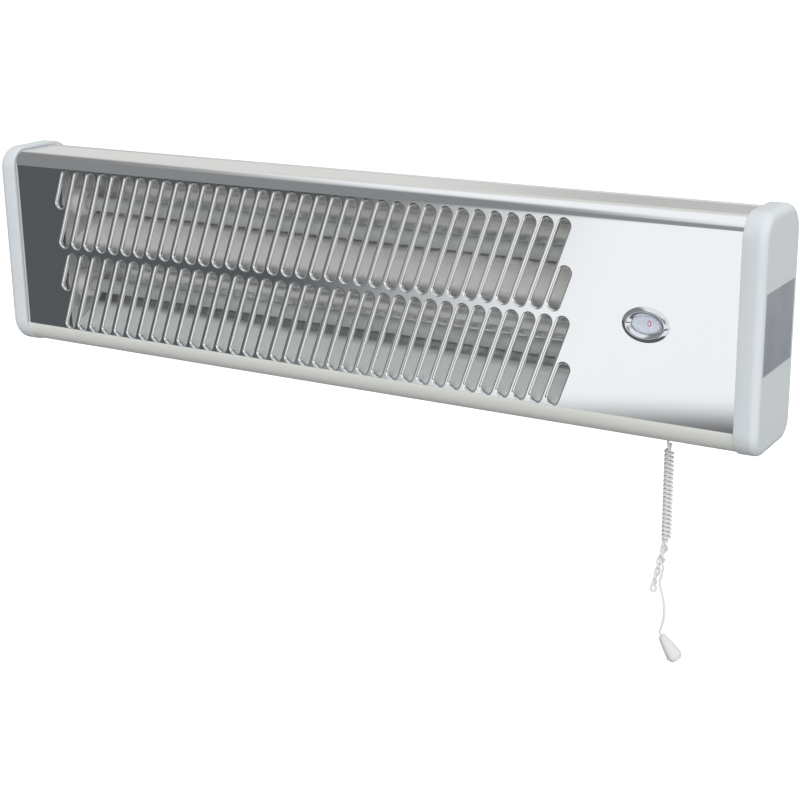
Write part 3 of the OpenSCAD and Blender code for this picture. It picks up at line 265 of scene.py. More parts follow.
def finish(name, dark, light, rough, metal=0.0, cloud=30.0, grain=900.0, bump=0.04,
           brush=None, brush_scale=3000.0, **sockets):
    """A material whose tone, roughness and surface vary by noise. dark and light are screen
    values, rough is a low and a high value, and brush is the direction across the scratches of
    a brushed metal."""
    mat = bpy.data.materials.new(name)
    mat.use_nodes = True
    tree = Tree(mat.node_tree)
    shader = mat.node_tree.nodes["Principled BSDF"]
    place = tree.add("ShaderNodeTexCoord").outputs["Object"]
    noise = tree.fill(tree.add("ShaderNodeGroup", node_tree=GRAIN), Vector=place,
                      Cloud_Scale=cloud, Grain_Scale=grain)
    tone, surface = noise.outputs["Cloud"], noise.outputs["Grain"]
    if brush:
        lines = tree.fill(tree.add("ShaderNodeGroup", node_tree=BRUSHED), Vector=place,
                          Across=brush, Scale=brush_scale)
        tone = tree.math("MULTIPLY_ADD", lines.outputs["Streaks"], 0.6,
                         tree.math("MULTIPLY", tone, 0.4))
        surface = lines.outputs["Lines"]
    height = tree.fill("ShaderNodeBump", Strength=bump, Distance=0.2 * MM, Height=surface)
    tree.fill(shader, Base_Color=tree.mix(tree.step(tone, 0.3, 0.7), rgb(*dark), rgb(*light)),
              Roughness=tree.step(surface, 0.25, 0.75, *rough), Metallic=metal,
              Normal=height.outputs["Normal"], **sockets)
    return mat


MATERIALS = {
    "panel_steel": finish(
        "polished_panel_steel", (243, 244, 244), (244, 245, 245), (0.03, 0.045), metal=1.0,
        cloud=14, brush=(1.0, 0.015, 0.015), brush_scale=5200, bump=0.003),
    "casing_steel": finish(
        "brushed_casing_steel", (230, 233, 231), (238, 241, 239), (0.34, 0.44), metal=0.9,
        cloud=14, brush=(0.015, 1.0, 1.0), brush_scale=4200, bump=0.05),
    "cap_plastic": finish(
        "satin_cap_plastic", (220, 225, 228), (224, 229, 232), (0.38, 0.48), cloud=18,
        grain=1500, bump=0.06),
    "label_silver": finish(
        "silver_plate_foil", (166, 172, 181), (178, 184, 192), (0.32, 0.42), metal=0.5,
        cloud=40, grain=1800, bump=0.03),
    "zinc": finish(
        "zinc_plating", (168, 172, 176), (196, 200, 203), (0.28, 0.42), metal=1.0,
        cloud=120, grain=1500, bump=0.05),
    "bracket_steel": finish(
        "bright_bracket_steel", (206, 208, 208), (226, 227, 226), (0.26, 0.38), metal=0.6,
        cloud=60, brush=(0.015, 1.0, 0.015), brush_scale=3500),
    "mirror_aluminium": finish(
        "mirror_aluminium", (243, 243, 241), (250, 250, 248), (0.14, 0.2), metal=0.78,
        cloud=25, brush=(1.0, 0.012, 0.012), brush_scale=1400, bump=0.02),
    "quartz": finish(
        "milky_quartz", (192, 194, 194), (208, 210, 210), (0.12, 0.2), cloud=60,
        grain=500, bump=0.02, Transmission_Weight=0.08, IOR=1.46),
    "coil_wire": finish(
        "oxidised_heating_wire", (92, 84, 78), (128, 118, 108), (0.5, 0.65), metal=0.7,
        cloud=300, grain=2500),
    "steatite": finish(
        "glazed_steatite", (232, 231, 227), (243, 242, 239), (0.25, 0.4), cloud=90,
        grain=1300, bump=0.05),
    "brass": finish(
        "turned_brass", (196, 164, 98), (216, 186, 122), (0.26, 0.38), metal=1.0,
        cloud=200, grain=2000),
    "bezel_chrome": finish(
        "bezel_chrome", (226, 228, 232), (236, 238, 241), (0.04, 0.08), metal=1.0,
        cloud=60, grain=1500, bump=0.01),
    "lens_plastic": finish(
        "clear_lens_plastic", (236, 239, 243), (243, 246, 249), (0.05, 0.1), cloud=80,
        grain=1200, bump=0.01, Transmission_Weight=0.93, IOR=1.49),
    "dark_plastic": finish(
        "dark_moulded_plastic", (44, 44, 47), (60, 60, 63), (0.42, 0.55), cloud=60,
        grain=1800, bump=0.08),
    "nylon": finish(
        "natural_nylon", (214, 210, 198), (228, 225, 214), (0.35, 0.48), cloud=80,
        grain=1500, bump=0.05),
    # The wheel's emission is painted light: a glow standing in for the light that reaches it
    # through the window.
    "indicator_white": finish(
        "indicator_wheel_white", (212, 216, 224), (222, 226, 232), (0.4, 0.5), cloud=60,
        grain=1500, Emission_Color=rgb(214, 218, 226), Emission_Strength=0.5),
    "spring_steel": finish(
        "spring_steel", (160, 162, 165), (190, 192, 194), (0.25, 0.36), metal=1.0,
        cloud=300, grain=2000),
    "cord_white": finish(
        "white_cord", (233, 233, 233), (242, 242, 242), (0.7, 0.85), cloud=1800,
        grain=5200, bump=0.35, Sheen_Weight=0.3),
    "bush_rubber": finish(
        "pale_bush_plastic", (226, 226, 222), (238, 238, 235), (0.45, 0.58), cloud=120,
        grain=1600, bump=0.06),
    "knob_white": finish(
        "white_knob_plastic", (228, 228, 227), (233, 233, 232), (0.34, 0.44), cloud=120,
        grain=1600, bump=0.03),
    # The red ink's emission is painted light: a glow standing in for the light that reaches it
    # through the window.
    "number_red_glow": finish(
        "number_ink_red", (196, 62, 92), (208, 76, 104), (0.4, 0.5),
        Emission_Color=rgb(204, 70, 100), Emission_Strength=0.5),
}
for colour, dark_tone, light_tone in (
    ("brown", (112, 70, 42), (134, 86, 54)), ("blue", (50, 92, 158), (70, 112, 178)),
    ("red", (170, 52, 40), (192, 68, 54)), ("black", (36, 36, 38), (52, 52, 54)),
    ("green", (106, 146, 44), (168, 186, 60)),
):
    MATERIALS["wire_" + colour] = finish(colour + "_insulation", dark_tone, light_tone,
                                         (0.4, 0.5))


def satin_band(mat, height, colour, rough, metal, soft=0.0002):
    """Below a height in metres, a metal loses its polish and turns satin."""
    tree = Tree(mat.node_tree)
    shader = mat.node_tree.nodes["Principled BSDF"]
    below = tree.step(tree.height(), height + soft, height - soft)
    polished, smooth = (shader.inputs[socket].links[0].from_socket
                        for socket in ("Base Color", "Roughness"))
    tree.fill(shader, Base_Color=tree.mix(below, polished, rgb(*colour)),
              Roughness=tree.blend(below, smooth, rough), Metallic=tree.blend(below, 1.0, metal))


def painted_reflector_light(mat, bands, soft=0.002):
    """Bands along a reflector, each from a low to a high in metres, with painted reflections and
    painted shade.
    """
    tree = Tree(mat.node_tree)
    shader = mat.node_tree.nodes["Principled BSDF"]
    height = tree.height()
    colour = shader.inputs["Base Color"].links[0].from_socket
    shine = shader.inputs["Metallic"].default_value
    # Each band's tint is painted light: pale where it paints a reflection, greyer where it paints
    # shade.
    for low, high, tint, metal in bands:
        inside = tree.math("MULTIPLY", tree.step(height, low - soft, low + soft),
                           tree.step(height, high + soft, high - soft))
        colour = tree.mix(inside, colour, rgb(*tint))
        shine = tree.blend(inside, shine, metal)
    tree.fill(shader, Base_Color=colour, Metallic=shine)


satin_band(MATERIALS["panel_steel"], -0.0519, (238, 239, 233), 0.46, 0.15)
# Painted light on the reflectors: a cream painted reflection below each tube, greyer painted shade
# elsewhere, and a darker painted shadow just below the lower tube.
painted_reflector_light(MATERIALS["mirror_aluminium"], (
    (-0.004, 0.003, (215, 215, 213), 0.8), (0.003, 0.016, (254, 253, 249), 0.02),
    (0.016, 0.060, (230, 231, 230), 0.8), (-0.041, -0.033, (190, 192, 192), 0.8),
    (-0.060, -0.041, (252, 253, 253), 0.05)))


def dress(node, slot):
    """Gives a CAD node the finish of a slot."""
    mesh = nodes[node].data
    mesh.materials.clear()
    mesh.materials.append(MATERIALS[slot])


# Piece helpers


def mm_mesh(name, verts, faces):
    """A mesh from points in millimetres."""
    mesh = bpy.data.meshes.new(name)
    mesh.from_pydata([(x * MM, y * MM, z * MM) for x, y, z in verts], [], faces)
    return mesh


def in_scene(name, data):
    """A new object, linked to the scene."""
    thing = bpy.data.objects.new(name, data)
    bpy.context.scene.collection.objects.link(thing)
    return thing


def piece(name, verts, faces, body, slot, replaced=(), sharp=35):
    """A mesh piece, with points in millimetres, that rides on a body."""
    return ready(mm_mesh(name, verts, faces), name, body, slot, replaced, sharp)


def ready(mesh, name, body, slot, replaced=(), sharp=35, material=None):
    """Shades a finished mesh, gives it its finish, sets it on its body and hides the CAD nodes it
    replaces.
    """
    mesh.validate()
    mesh.update()
    mesh.shade_smooth()
    mesh.set_sharp_from_angle(angle=math.radians(sharp))
    mesh.materials.clear()
    mesh.materials.append(MATERIALS[material or slot])
    thing = in_scene(name, mesh)
    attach(thing, body)
    if replaced:
        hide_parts(*replaced)
    return thing


def smoothed(node, name, body, slot, sharp=35, bevel=0.0):
    """A copy of a CAD node with its facets merged, its edges broken and its curves shaded round."""
    shape = bmesh.new()
    shape.from_mesh(nodes[node].data)
    bmesh.ops.remove_doubles(shape, verts=shape.verts, dist=2e-6)
    bmesh.ops.dissolve_limit(shape, angle_limit=math.radians(0.5), verts=shape.verts,
                             edges=shape.edges)
    if bevel:
        edges = [e for e in shape.edges
                 if len(e.link_faces) == 2 and e.calc_face_angle(0) > math.radians(sharp)]
        bmesh.ops.bevel(shape, geom=edges, offset=bevel * MM, segments=2, profile=0.5,
                        affect="EDGES", clamp_overlap=True)
    mesh = bpy.data.meshes.new(name)
    shape.to_mesh(mesh)
    shape.free()
    return ready(mesh, name, body, slot, (node,), sharp)


def outward(mesh):
    """Turns every face of a closed mesh outwards."""
    shape = bmesh.new()
    shape.from_mesh(mesh)
    bmesh.ops.recalc_face_normals(shape, faces=shape.faces)
    shape.to_mesh(mesh)
    shape.free()


def rings_mesh(rings, closed_path=False):
    """Faces between closed rings of the same number of points."""
    verts = [p for ring in rings for p in ring]
    n = len(rings[0])
    faces = []
    for i in range(len(rings) if closed_path else len(rings) - 1):
        a0, b0 = i * n, (i + 1) % len(rings) * n
        for k in range(n):
            k1 = (k + 1) % n
            faces.append((a0 + k, a0 + k1, b0 + k1, b0 + k))
    return verts, faces


def end_faces(count, n, flip=False):
    """The faces that close the first and the last ring of n points, of count points in all."""
    faces = [tuple(range(n))[::-1], tuple(range(count - n, count))]
    return [face[::-1] for face in faces] if flip else faces


def quad_row(starts, across, flip):
    """A row of faces, each from a point to the next and to the two that lie across from them."""
    faces = [(a, a + across, a + across + 1, a + 1) for a in starts]
    return [face[::-1] for face in faces] if flip else faces


def round_hole(cx, cz, a, b, n=48):
    return [(cx + a * math.cos(2 * math.pi * i / n), cz + b * math.sin(2 * math.pi * i / n))
            for i in range(n)]


def flat_with_holes(outer, holes, place, flip):
    """A flat sheet with holes. place turns its 2D points into 3D ones."""
    loops = [[Vector((x, z, 0)) for x, z in loop] for loop in [outer] + holes]
    flat = [p for loop in loops for p in loop]
    verts = [place(p.x, p.y) for p in flat]
    faces = []
    for a, b, c in tessellate_polygon(loops):
        up = (flat[b] - flat[a]).cross(flat[c] - flat[a]).z > 0
        faces.append((a, b, c) if up != flip else (c, b, a))
    return verts, faces


def join(parts):
    verts, faces = [], []
    for part_verts, part_faces in parts:
        base = len(verts)
        verts += part_verts
        faces += [tuple(base + i for i in face) for face in part_faces]
    return verts, faces


def made_by_nodes(name, mesh, group):
    """The plain mesh that a Geometry Nodes tree makes from a mesh."""
    carrier = in_scene(name + "_carrier", mesh)
    modifier = carrier.modifiers.new("nodes", "NODES")
    modifier.node_group = group
    depsgraph = bpy.context.evaluated_depsgraph_get()
    result = bpy.data.meshes.new_from_object(carrier.evaluated_get(depsgraph))
    result.name = name
    carrier.modifiers.remove(modifier)
    bpy.data.objects.remove(carrier)
    return result


# Casing


def casing_ring(d, steps=16, corners=CORNERS):
    """An outline in y and z with four round corners, grown by d, from the top round the front."""
    ring = []
    for cy, cz, r, start, end in corners:
        for i in range(steps + 1):
            a = math.radians(start + (end - start) * i / steps)
            ring.append((cy + (r + d) * math.cos(a), cz + (r + d) * math.sin(a)))
    return ring


def slot_outline(height, d, steps=14):
    """A leaning slot round the origin, in x and z, grown by d."""
    half = (SLOT_H - SLOT_W) / 2
    length = (height - SLOT_W) / math.cos(LEAN_ANGLE)
    low = Vector((-SLOT_LEAN / 2, -half))
    high = low + length * Vector((math.sin(LEAN_ANGLE), math.cos(LEAN_ANGLE)))
    r = SLOT_W / 2 + d
    points = []
    for centre, start in ((high, 0), (low, 180)):
        for i in range(steps + 1):
            a = math.radians(start + 180 * i / steps) - LEAN_ANGLE
            points.append((centre.x + r * math.cos(a), centre.y + r * math.sin(a)))
    return points


def lip_profile():
    """The pressed lip's section: distance out from the clear hole, and depth behind the face."""
    profile = [(LIP_R + LIP_EDGE, 0.0)]
    for i in range(8):
        a = math.radians(90 * i / 7)
        profile.append((LIP_R - LIP_R * math.sin(a), LIP_R - LIP_R * math.cos(a)))
    tip = LIP_T / 2 - 0.05
    profile.append((0.0, LIP_D - tip))
    for i in range(1, 6):
        a = math.radians(180 * i / 6)
        profile.append((LIP_T / 2 - LIP_T / 2 * math.cos(a), LIP_D - tip + tip * math.sin(a)))
    profile += [(LIP_T, LIP_D - tip), (LIP_T, SHEET + LIP_EDGE), (LIP_R + LIP_EDGE, SHEET)]
    return profile


def slot_holes(d):
    """Every slot's outline on the panel, grown by d."""
    holes = []
    for row in (-1, 1):
        z = GRILLE_Z + row * ROW_PITCH / 2
        full = slot_outline(SLOT_H, d)
        for i in range(SLOT_COUNT):
            x = GRILLE_X + (i - (SLOT_COUNT - 1) / 2) * SLOT_PITCH
            holes.append([(x + px, z + pz) for px, pz in full])
        half = slot_outline(HALF_SLOT_H, d)
        holes.append([(GRILLE_X + ROW_HALF + px, z + pz) for px, pz in half])
        holes.append([(GRILLE_X - ROW_HALF - px, z - pz) for px, pz in half])
    return holes


def slot_lip(name, height):
    """One slot's pressed lip, round the origin, as a mesh for the grille's tree."""
    verts, faces = rings_mesh([
        [(x, FRONT_Y + depth, z) for x, z in slot_outline(height, out)]
        for out, depth in lip_profile()])
    return in_scene(name, mm_mesh(name, verts, faces))


def grille_tree(lip, half_lip):
    """Sets a pressed lip round each slot of both rows, and a shorter one at each row's ends."""
    tree, given, out = new_group(
        "grille_lips",
        [("Geometry", "NodeSocketGeometry", None), ("Slots in a row", "NodeSocketInt", SLOT_COUNT),
         ("Slot pitch", "NodeSocketFloat", SLOT_PITCH * MM),
         ("Row pitch", "NodeSocketFloat", ROW_PITCH * MM),
         ("Grille x", "NodeSocketFloat", GRILLE_X * MM),
         ("Grille z", "NodeSocketFloat", GRILLE_Z * MM)],
        [("Geometry", "NodeSocketGeometry")], "GeometryNodeTree")
    geometry, count, pitch, row_pitch, middle_x, middle_z = (
        given.outputs[name] for name in ("Geometry", "Slots in a row", "Slot pitch", "Row pitch",
                                         "Grille x", "Grille z"))
    both = tree.add("GeometryNodeJoinGeometry")
    tree.put(both, 0, geometry)
    full, half = (tree.fill("GeometryNodeObjectInfo", Object=thing).outputs["Geometry"]
                  for thing in (lip, half_lip))
    first = tree.math("MULTIPLY", tree.math("SUBTRACT", count, 1.0), -0.5)
    reach = tree.math("MULTIPLY", pitch, tree.math(
        "MULTIPLY", tree.math("ADD", count, 1.0), 0.5))
    for row in (-0.5, 0.5):
        z = tree.math("MULTIPLY_ADD", row_pitch, row, middle_z)
        start = tree.fill("ShaderNodeCombineXYZ", Z=z,
                          X=tree.math("MULTIPLY_ADD", pitch, first, middle_x))
        line = tree.fill("GeometryNodeMeshLine", Count=count, Start_Location=start.outputs[0],
                         Offset=tree.fill("ShaderNodeCombineXYZ", X=pitch).outputs[0])
        placed = tree.fill("GeometryNodeInstanceOnPoints", Points=line.outputs["Mesh"],
                           Instance=full)
        tree.put(both, 0, placed.outputs["Instances"])
        for side in (-1, 1):
            spot = tree.fill("ShaderNodeCombineXYZ", Z=z,
                             X=tree.math("MULTIPLY_ADD", reach, float(side), middle_x))
            turned = tree.fill("GeometryNodeTransform", Geometry=half,
                               Translation=spot.outputs[0])
            if side < 0:
                # Half a turn in the panel's plane: the mesh holds its own y
                tree.fill(turned, Rotation=(0.0, math.pi, 0.0))
            tree.put(both, 0, turned.outputs["Geometry"])
    real = tree.fill("GeometryNodeRealizeInstances", Geometry=both.outputs[0])
    merged = tree.fill("GeometryNodeMergeByDistance", Geometry=real.outputs[0], Distance=2e-6)
    steel = tree.fill("GeometryNodeSetMaterial", Geometry=merged.outputs[0],
                      Material=MATERIALS["panel_steel"])
    tree.put(out, 0, steel.outputs[0])
    return tree.tree


def panel_bends(d):
    """The top strip with its bend, and the bottom bend, in y and z, grown by d."""
    n = BEND_STEPS + 1
    outline = casing_ring(d, BEND_STEPS)
    top, bottom = outline[:n], outline[n:2 * n]
    return (
        [(SEAM_Y, TOP_Z + d), (top[0][0] + BEND_SUPPORT, TOP_Z + d)] + top
        + [(FRONT_Y - d, TOP_Z - FRONT_TOP_R - BEND_SUPPORT)],
        [(FRONT_Y - d, BOTTOM_Z + FRONT_BOTTOM_R + BEND_SUPPORT)] + bottom
        + [(bottom[-1][0] + BEND_SUPPORT, BOTTOM_Z - d)],
    )


def front_panel():
    """The polished sheet: top strip, bend, slotted face, bend and bottom strip, with its inside."""
    x0, x1 = -SHEET_END_X, SHEET_END_X
    window_hole = round_hole(SWITCH_X, WINDOW_Z, (BEZEL_W - 2 * BEZEL_RIM) / 2,
                             (BEZEL_H - 2 * BEZEL_RIM) / 2)
    under_holes = [round_hole(CORD_X, CORD_Y, BUSH_R, BUSH_R, 32)]
    under_holes += [round_hole(x, CASING_SCREW_Y, SCREW_HOLE_R, SCREW_HOLE_R, 24)
                    for x in CASING_SCREWS_X]
    parts, edges = [], []
    for d, flip in ((0.0, False), (-SHEET, True)):
        top, bottom = panel_bends(d)
        for strip in (top, bottom):
            parts.append(([(x, y, z) for y, z in strip for x in (x0, x1)],
                          quad_row(range(0, 2 * len(strip) - 2, 2), 2, flip)))
        for (low, high), holes, place, turn in (
            ((bottom[0][1], top[-1][1]), slot_holes(LIP_R + LIP_EDGE) + [window_hole],
             lambda x, z, y=FRONT_Y - d: (x, y, z), flip),
            ((bottom[-1][0], SEAM_Y), under_holes,
             lambda x, y, z=BOTTOM_Z - d: (x, y, z), not flip),
        ):
            outer = [(x0, low), (x1, low), (x1, high), (x0, high)]
            parts.append(flat_with_holes(outer, holes, place, turn))
        edges.append(top + bottom + [(SEAM_Y, BOTTOM_Z - d)])
    # Rims of the round holes, and the sheet's own edges
    parts.append(rings_mesh([[(x, FRONT_Y + depth, z) for x, z in window_hole]
                             for depth in (0.0, SHEET)]))
    for loop in under_holes:
        parts.append(rings_mesh([[(x, y, BOTTOM_Z + height) for x, y in loop]
                                 for height in (0.0, SHEET)]))
    outside, inside = edges
    n = len(outside)
    for x, flip in ((x0, False), (x1, True)):
        parts.append(([(x, y, z) for y, z in outside + inside], quad_row(range(n - 1), n, flip)))
    for (y0, z0), (y1, z1), flip in ((outside[0], inside[0], True),
                                     (outside[-1], inside[-1], False)):
        verts = [(x0, y0, z0), (x1, y0, z0), (x1, y1, z1), (x0, y1, z1)]
        parts.append((verts, [(3, 2, 1, 0) if flip else (0, 1, 2, 3)]))
    sheet = mm_mesh("front_sheet", *join(parts))
    lip, half_lip = slot_lip("slot_lip", SLOT_H), slot_lip("half_slot_lip", HALF_SLOT_H)
    mesh = made_by_nodes("slotted_front", sheet, grille_tree(lip, half_lip))
    for thing in (lip, half_lip):
        bpy.data.objects.remove(thing)
    outward(mesh)
    ready(mesh, "slotted_front", "heater", "panel_steel", ("front_panel",), 40)


def tube_brackets():
    """The brackets, their edges broken, with the front flange reaching just past the slots."""
    for name, side in (("left", -1), ("right", 1)):
        bracket = smoothed(name + "_tube_bracket", name + "_tube_holder", "heater",
                           "bracket_steel", 35, 0.1)
        outer = max(side * v.co.x for v in bracket.data.vertices)
        for v in bracket.data.vertices:
            if (v.co.y < (FRONT_Y + FLANGE_NEAR) * MM
                    and side * v.co.x > outer - FLANGE_WALL * MM):
                v.co.x += side * FLANGE_EXTRA * MM
        bracket.data.update()


def rear_casing():
    smoothed("rear_casing", "rear_sheet", "heater", "casing_steel", 30)


def end_cap(side):
    """A moulded cap: soft outer edge, rim round the casing, and its inside with screw bosses."""
    start = CASE_L / 2
    end = start + CAP_L
    # Each profile's rows are a distance out from the casing's or the cap's outline, and x
    joint = [(CAP_GAP, start + 0.02), (CAP_GAP + 0.15, start)]
    shell = [(-CAP_RIM_R, start)]
    shell += [(-CAP_RIM_R * (1 - math.sin(a)), start + CAP_RIM_R * (1 - math.cos(a)))
              for a in (math.radians(t) for t in (30, 60, 90))]
    shell += [(0.0, end - CAP_EDGE_R - 0.3)]
    shell += [(-CAP_EDGE_R * (1 - math.cos(a)), end - CAP_EDGE_R * (1 - math.sin(a)))
              for a in (math.radians(t) for t in range(0, 91, 9))]
    shell += [(-CAP_EDGE_R - 0.4, end)]
    inner = [(CAP_GAP, SHEET_END_X + CAP_GAP), (-SHEET - 1.2, SHEET_END_X + CAP_GAP),
             (-SHEET - 1.2, end - CAP_WALL), (-SHEET - 3.0, end - CAP_WALL)]
    rings = [[(side * x, y, z) for y, z in casing_ring(d, 20, corners)]
             for profile, corners in ((shell[::-1], CAP_CORNERS), (joint[::-1] + inner, CORNERS))
             for d, x in profile]
    verts, faces = rings_mesh(rings)
    faces += end_faces(len(verts), len(rings[0]))
    mesh = mm_mesh("cap", verts, faces)
    shape = bmesh.new()
    shape.from_mesh(mesh)
    for z in (-BOSS_Z, BOSS_Z):
        boss = bmesh.ops.create_cube(shape, size=1.0)["verts"]
        size = Vector(BOSS_SIZE) * MM
        centre = Vector((side * (start + BOSS_OUT), BACK_Y - SHEET - CAP_GAP - BOSS_IN, z)) * MM
        for v in boss:
            v.co = v.co * size + centre
    bmesh.ops.recalc_face_normals(shape, faces=shape.faces)
    bmesh.ops.triangulate(shape, faces=[f for f in shape.faces if len(f.verts) > 4])
    shape.to_mesh(mesh)
    shape.free()
    name = "left" if side < 0 else "right"
    mesh.name = name + "_moulded_cap"
    ready(mesh, mesh.name, "heater", "cap_plastic", (name + "_end_cap",), 40)


# Window


def oval_rings(profile, n=72):
    return [[(x, FRONT_Y + depth, z) for x, z in round_hole(SWITCH_X, WINDOW_Z, a, b, n)]
            for a, b, depth in profile]


def window():
    """The chrome bezel with its dished inner face, and the clear pane."""
    verts, faces = rings_mesh(oval_rings(BEZEL_PROFILE), closed_path=True)
    bezel = piece("dished_bezel", verts, faces, "heater", "bezel_chrome", ("window_bezel",), 50)
    rings = oval_rings(PANE_PROFILE)
    verts, faces = rings_mesh(rings)
    faces += end_faces(len(verts), len(rings[0]), flip=True)
    pane = piece("clear_pane", verts, faces, "heater", "lens_plastic", ("window_lens",), 30)
    for thing in (bezel, pane):
        outward(thing.data)


def setting_numbers():
    """The switch's three settings on the indicator wheel, each upright at the window in turn."""
    shape = bmesh.new()
    for i, number in enumerate("012"):
        curve = bpy.data.curves.new("number_" + number, "FONT")
        curve.body = number
        curve.size = NUMBER_SIZE * MM
        curve.align_x = "CENTER"
        curve.align_y = "CENTER"
        curve.extrude = 0.01 * MM
        curve.offset = 0.05 * MM
        curve.resolution_u = 12
        carrier = in_scene("number_carrier", curve)
        mesh = bpy.data.meshes.new_from_object(
            carrier.evaluated_get(bpy.context.evaluated_depsgraph_get()))
        bpy.data.objects.remove(carrier)
        centre = Vector((SWITCH_X, WHEEL_FRONT_Y - 0.015, SHAFT_Z)) * MM
        upright = Matrix.Rotation(math.pi / 2, 4, "X")
        turn = Matrix.Rotation(math.radians(-120 * i), 4, "Y")
        out = Matrix.Translation((NUMBER_X * MM, 0, NUMBER_R * MM))
        mesh.transform(Matrix.Translation(centre) @ turn @ out @ upright)
        shape.from_mesh(mesh)
        bpy.data.meshes.remove(mesh)
    mesh = bpy.data.meshes.new("setting_numbers")
    shape.to_mesh(mesh)
    shape.free()
    ready(mesh, "setting_numbers", "indicator", "indicator_white", (), 30, "number_red_glow")


# Heating coils


def coil_tree():
    """A wire wound into a coil along x."""
    tree, given, out = new_group(
        "wound_coil",
        [("Geometry", "NodeSocketGeometry", None), ("Turns", "NodeSocketFloat", COIL_TURNS),
         ("Coil radius", "NodeSocketFloat", COIL_R * MM),
         ("Coil length", "NodeSocketFloat", (COIL_END_X - COIL_START_X) * MM),
         ("Wire radius", "NodeSocketFloat", WIRE_R * MM),
         ("Points in a turn", "NodeSocketInt", 12)],
        [("Geometry", "NodeSocketGeometry")], "GeometryNodeTree")
    radius = given.outputs["Coil radius"]
    spiral = tree.fill("GeometryNodeCurveSpiral", Resolution=given.outputs["Points in a turn"],
                       Rotations=given.outputs["Turns"], Start_Radius=radius, End_Radius=radius,
                       Height=given.outputs["Coil length"])
    wire = tree.fill("GeometryNodeCurvePrimitiveCircle", Resolution=6,
                     Radius=given.outputs["Wire radius"])
    tube = tree.fill("GeometryNodeCurveToMesh", Curve=spiral.outputs["Curve"],
                     Profile_Curve=wire.outputs["Curve"], Fill_Caps=True)
    turned = tree.fill("GeometryNodeTransform", Geometry=tube.outputs["Mesh"],
                       Rotation=(0.0, math.pi / 2, 0.0))
    both = tree.fill("GeometryNodeJoinGeometry", Geometry=given.outputs["Geometry"])
    tree.put(both, 0, turned.outputs["Geometry"])
    real = tree.fill("GeometryNodeRealizeInstances", Geometry=both.outputs[0])
    metal = tree.fill("GeometryNodeSetMaterial", Geometry=real.outputs[0],
                      Material=MATERIALS["coil_wire"])
    tree.put(out, 0, metal.outputs[0])
    return tree.tree


def heating_coils():
    """Each tube's coil, with a straight lead at each end."""
    group = coil_tree()
    for name, z in (("upper", TUBE_Z), ("lower", -TUBE_Z)):
        shape = bmesh.new()
        for x0, x1 in ((LEAD_START_X, COIL_START_X + LEAD_LAP),
                       (COIL_END_X - LEAD_LAP, LEAD_END_X)):
            lead = bmesh.ops.create_cone(
                shape, cap_ends=True, segments=10, radius1=LEAD_R * MM, radius2=LEAD_R * MM,
                depth=(x1 - x0) * MM)["verts"]
            bmesh.ops.rotate(shape, verts=lead, cent=(0, 0, 0),
                             matrix=Matrix.Rotation(math.pi / 2, 3, "Y"))
            bmesh.ops.translate(shape, verts=lead,
                                vec=Vector(((x0 + x1) / 2 - COIL_START_X, 0, 0)) * MM)
        leads = bpy.data.meshes.new("coil_leads")
        shape.to_mesh(leads)
        shape.free()
        mesh = made_by_nodes(name + "_wound_coil", leads, group)
        mesh.transform(Matrix.Translation(Vector((COIL_START_X, TUBE_Y, z)) * MM))
        ready(mesh, name + "_wound_coil", "heater", "coil_wire", (name + "_heating_coil",), 60)


# Pull cord


def ease(t):
    t = min(1.0, max(0.0, t))
    return t * t * (3 - 2 * t)


def strand_r(s):
    """How far a core strand lies from the twist's middle, at a part s of the way down it."""
    wide = STRAND_WIDE - STRAND_DRAWN_IN * ease((s - 0.54) / 0.14)
    if s < 0.1:
        return CORE_HALF + (wide - CORE_HALF) * ease(0.5 + 5 * s)
    if s > 0.86:
        return wide + (STRAND_END - wide) * ease((s - 0.86) / 0.14)
    return wide


def twisted(s, angle, r):
    b = math.radians(angle + 360 * TWIST_TURNS * s)
    return (WIND_X + (TWIST_END_X - WIND_X) * s + r * math.cos(b), r * math.sin(b),
            TWIST_TOP + (TWIST_LOW - TWIST_TOP) * s)


def third_strand(s):
    """The cord's end comes in to the twist's middle, then out between its two strands."""
    if s < 0.2:
        return twisted(s, 188, THIRD_START * (1 - ease(s / 0.2)))
    return twisted(s, 0, THIRD_OUT * ease((s - 0.43) / 0.14))


def cord_route():
    """The cord from the bush down the winding's core and its twist, round the eye and up, over
    the top, round and round down the outside, and out of the twist down the tail."""
    core = [CORE_TOP + (WIND_LOW - CORE_TOP) * i / CORE_STEPS for i in range(CORE_STEPS + 1)]
    steps = [i / TWIST_STEPS for i in range(TWIST_STEPS + 1)]
    route = [*ENTRY, *((WIND_X, -CORE_HALF, z) for z in core)]
    route += [twisted(s, -90, strand_r(s)) for s in steps]
    for degrees in range(-36, -325, -36):
        a = math.radians(degrees)
        across = EYE_HALF_W * math.sin(a)
        route.append((EYE[0] + across * math.cos(EYE_TURN), EYE[1] + across * math.sin(EYE_TURN),
                      EYE[2] + EYE_HALF_H * math.cos(a)))
    route += [twisted(s, 90, strand_r(s)) for s in reversed(steps)]
    route += [(WIND_X, CORE_HALF, z) for z in reversed(core)]
    route += OVER_TOP
    for i in range(1, int(WIND_TURNS * WIND_RINGS) + 1):
        a = math.radians(90 + 360 * i / WIND_RINGS)
        route.append((WIND_X + WIND_RX * math.cos(a), WIND_RY * math.sin(a),
                      WIND_TOP - WIND_PITCH * i / WIND_RINGS))
    route += [third_strand(s) for s in steps[1:THIRD_STEPS]]
    route += TAIL
    return [(CORD_X + x, CORD_Y + y, HANG_Z + z) for x, y, z in route]


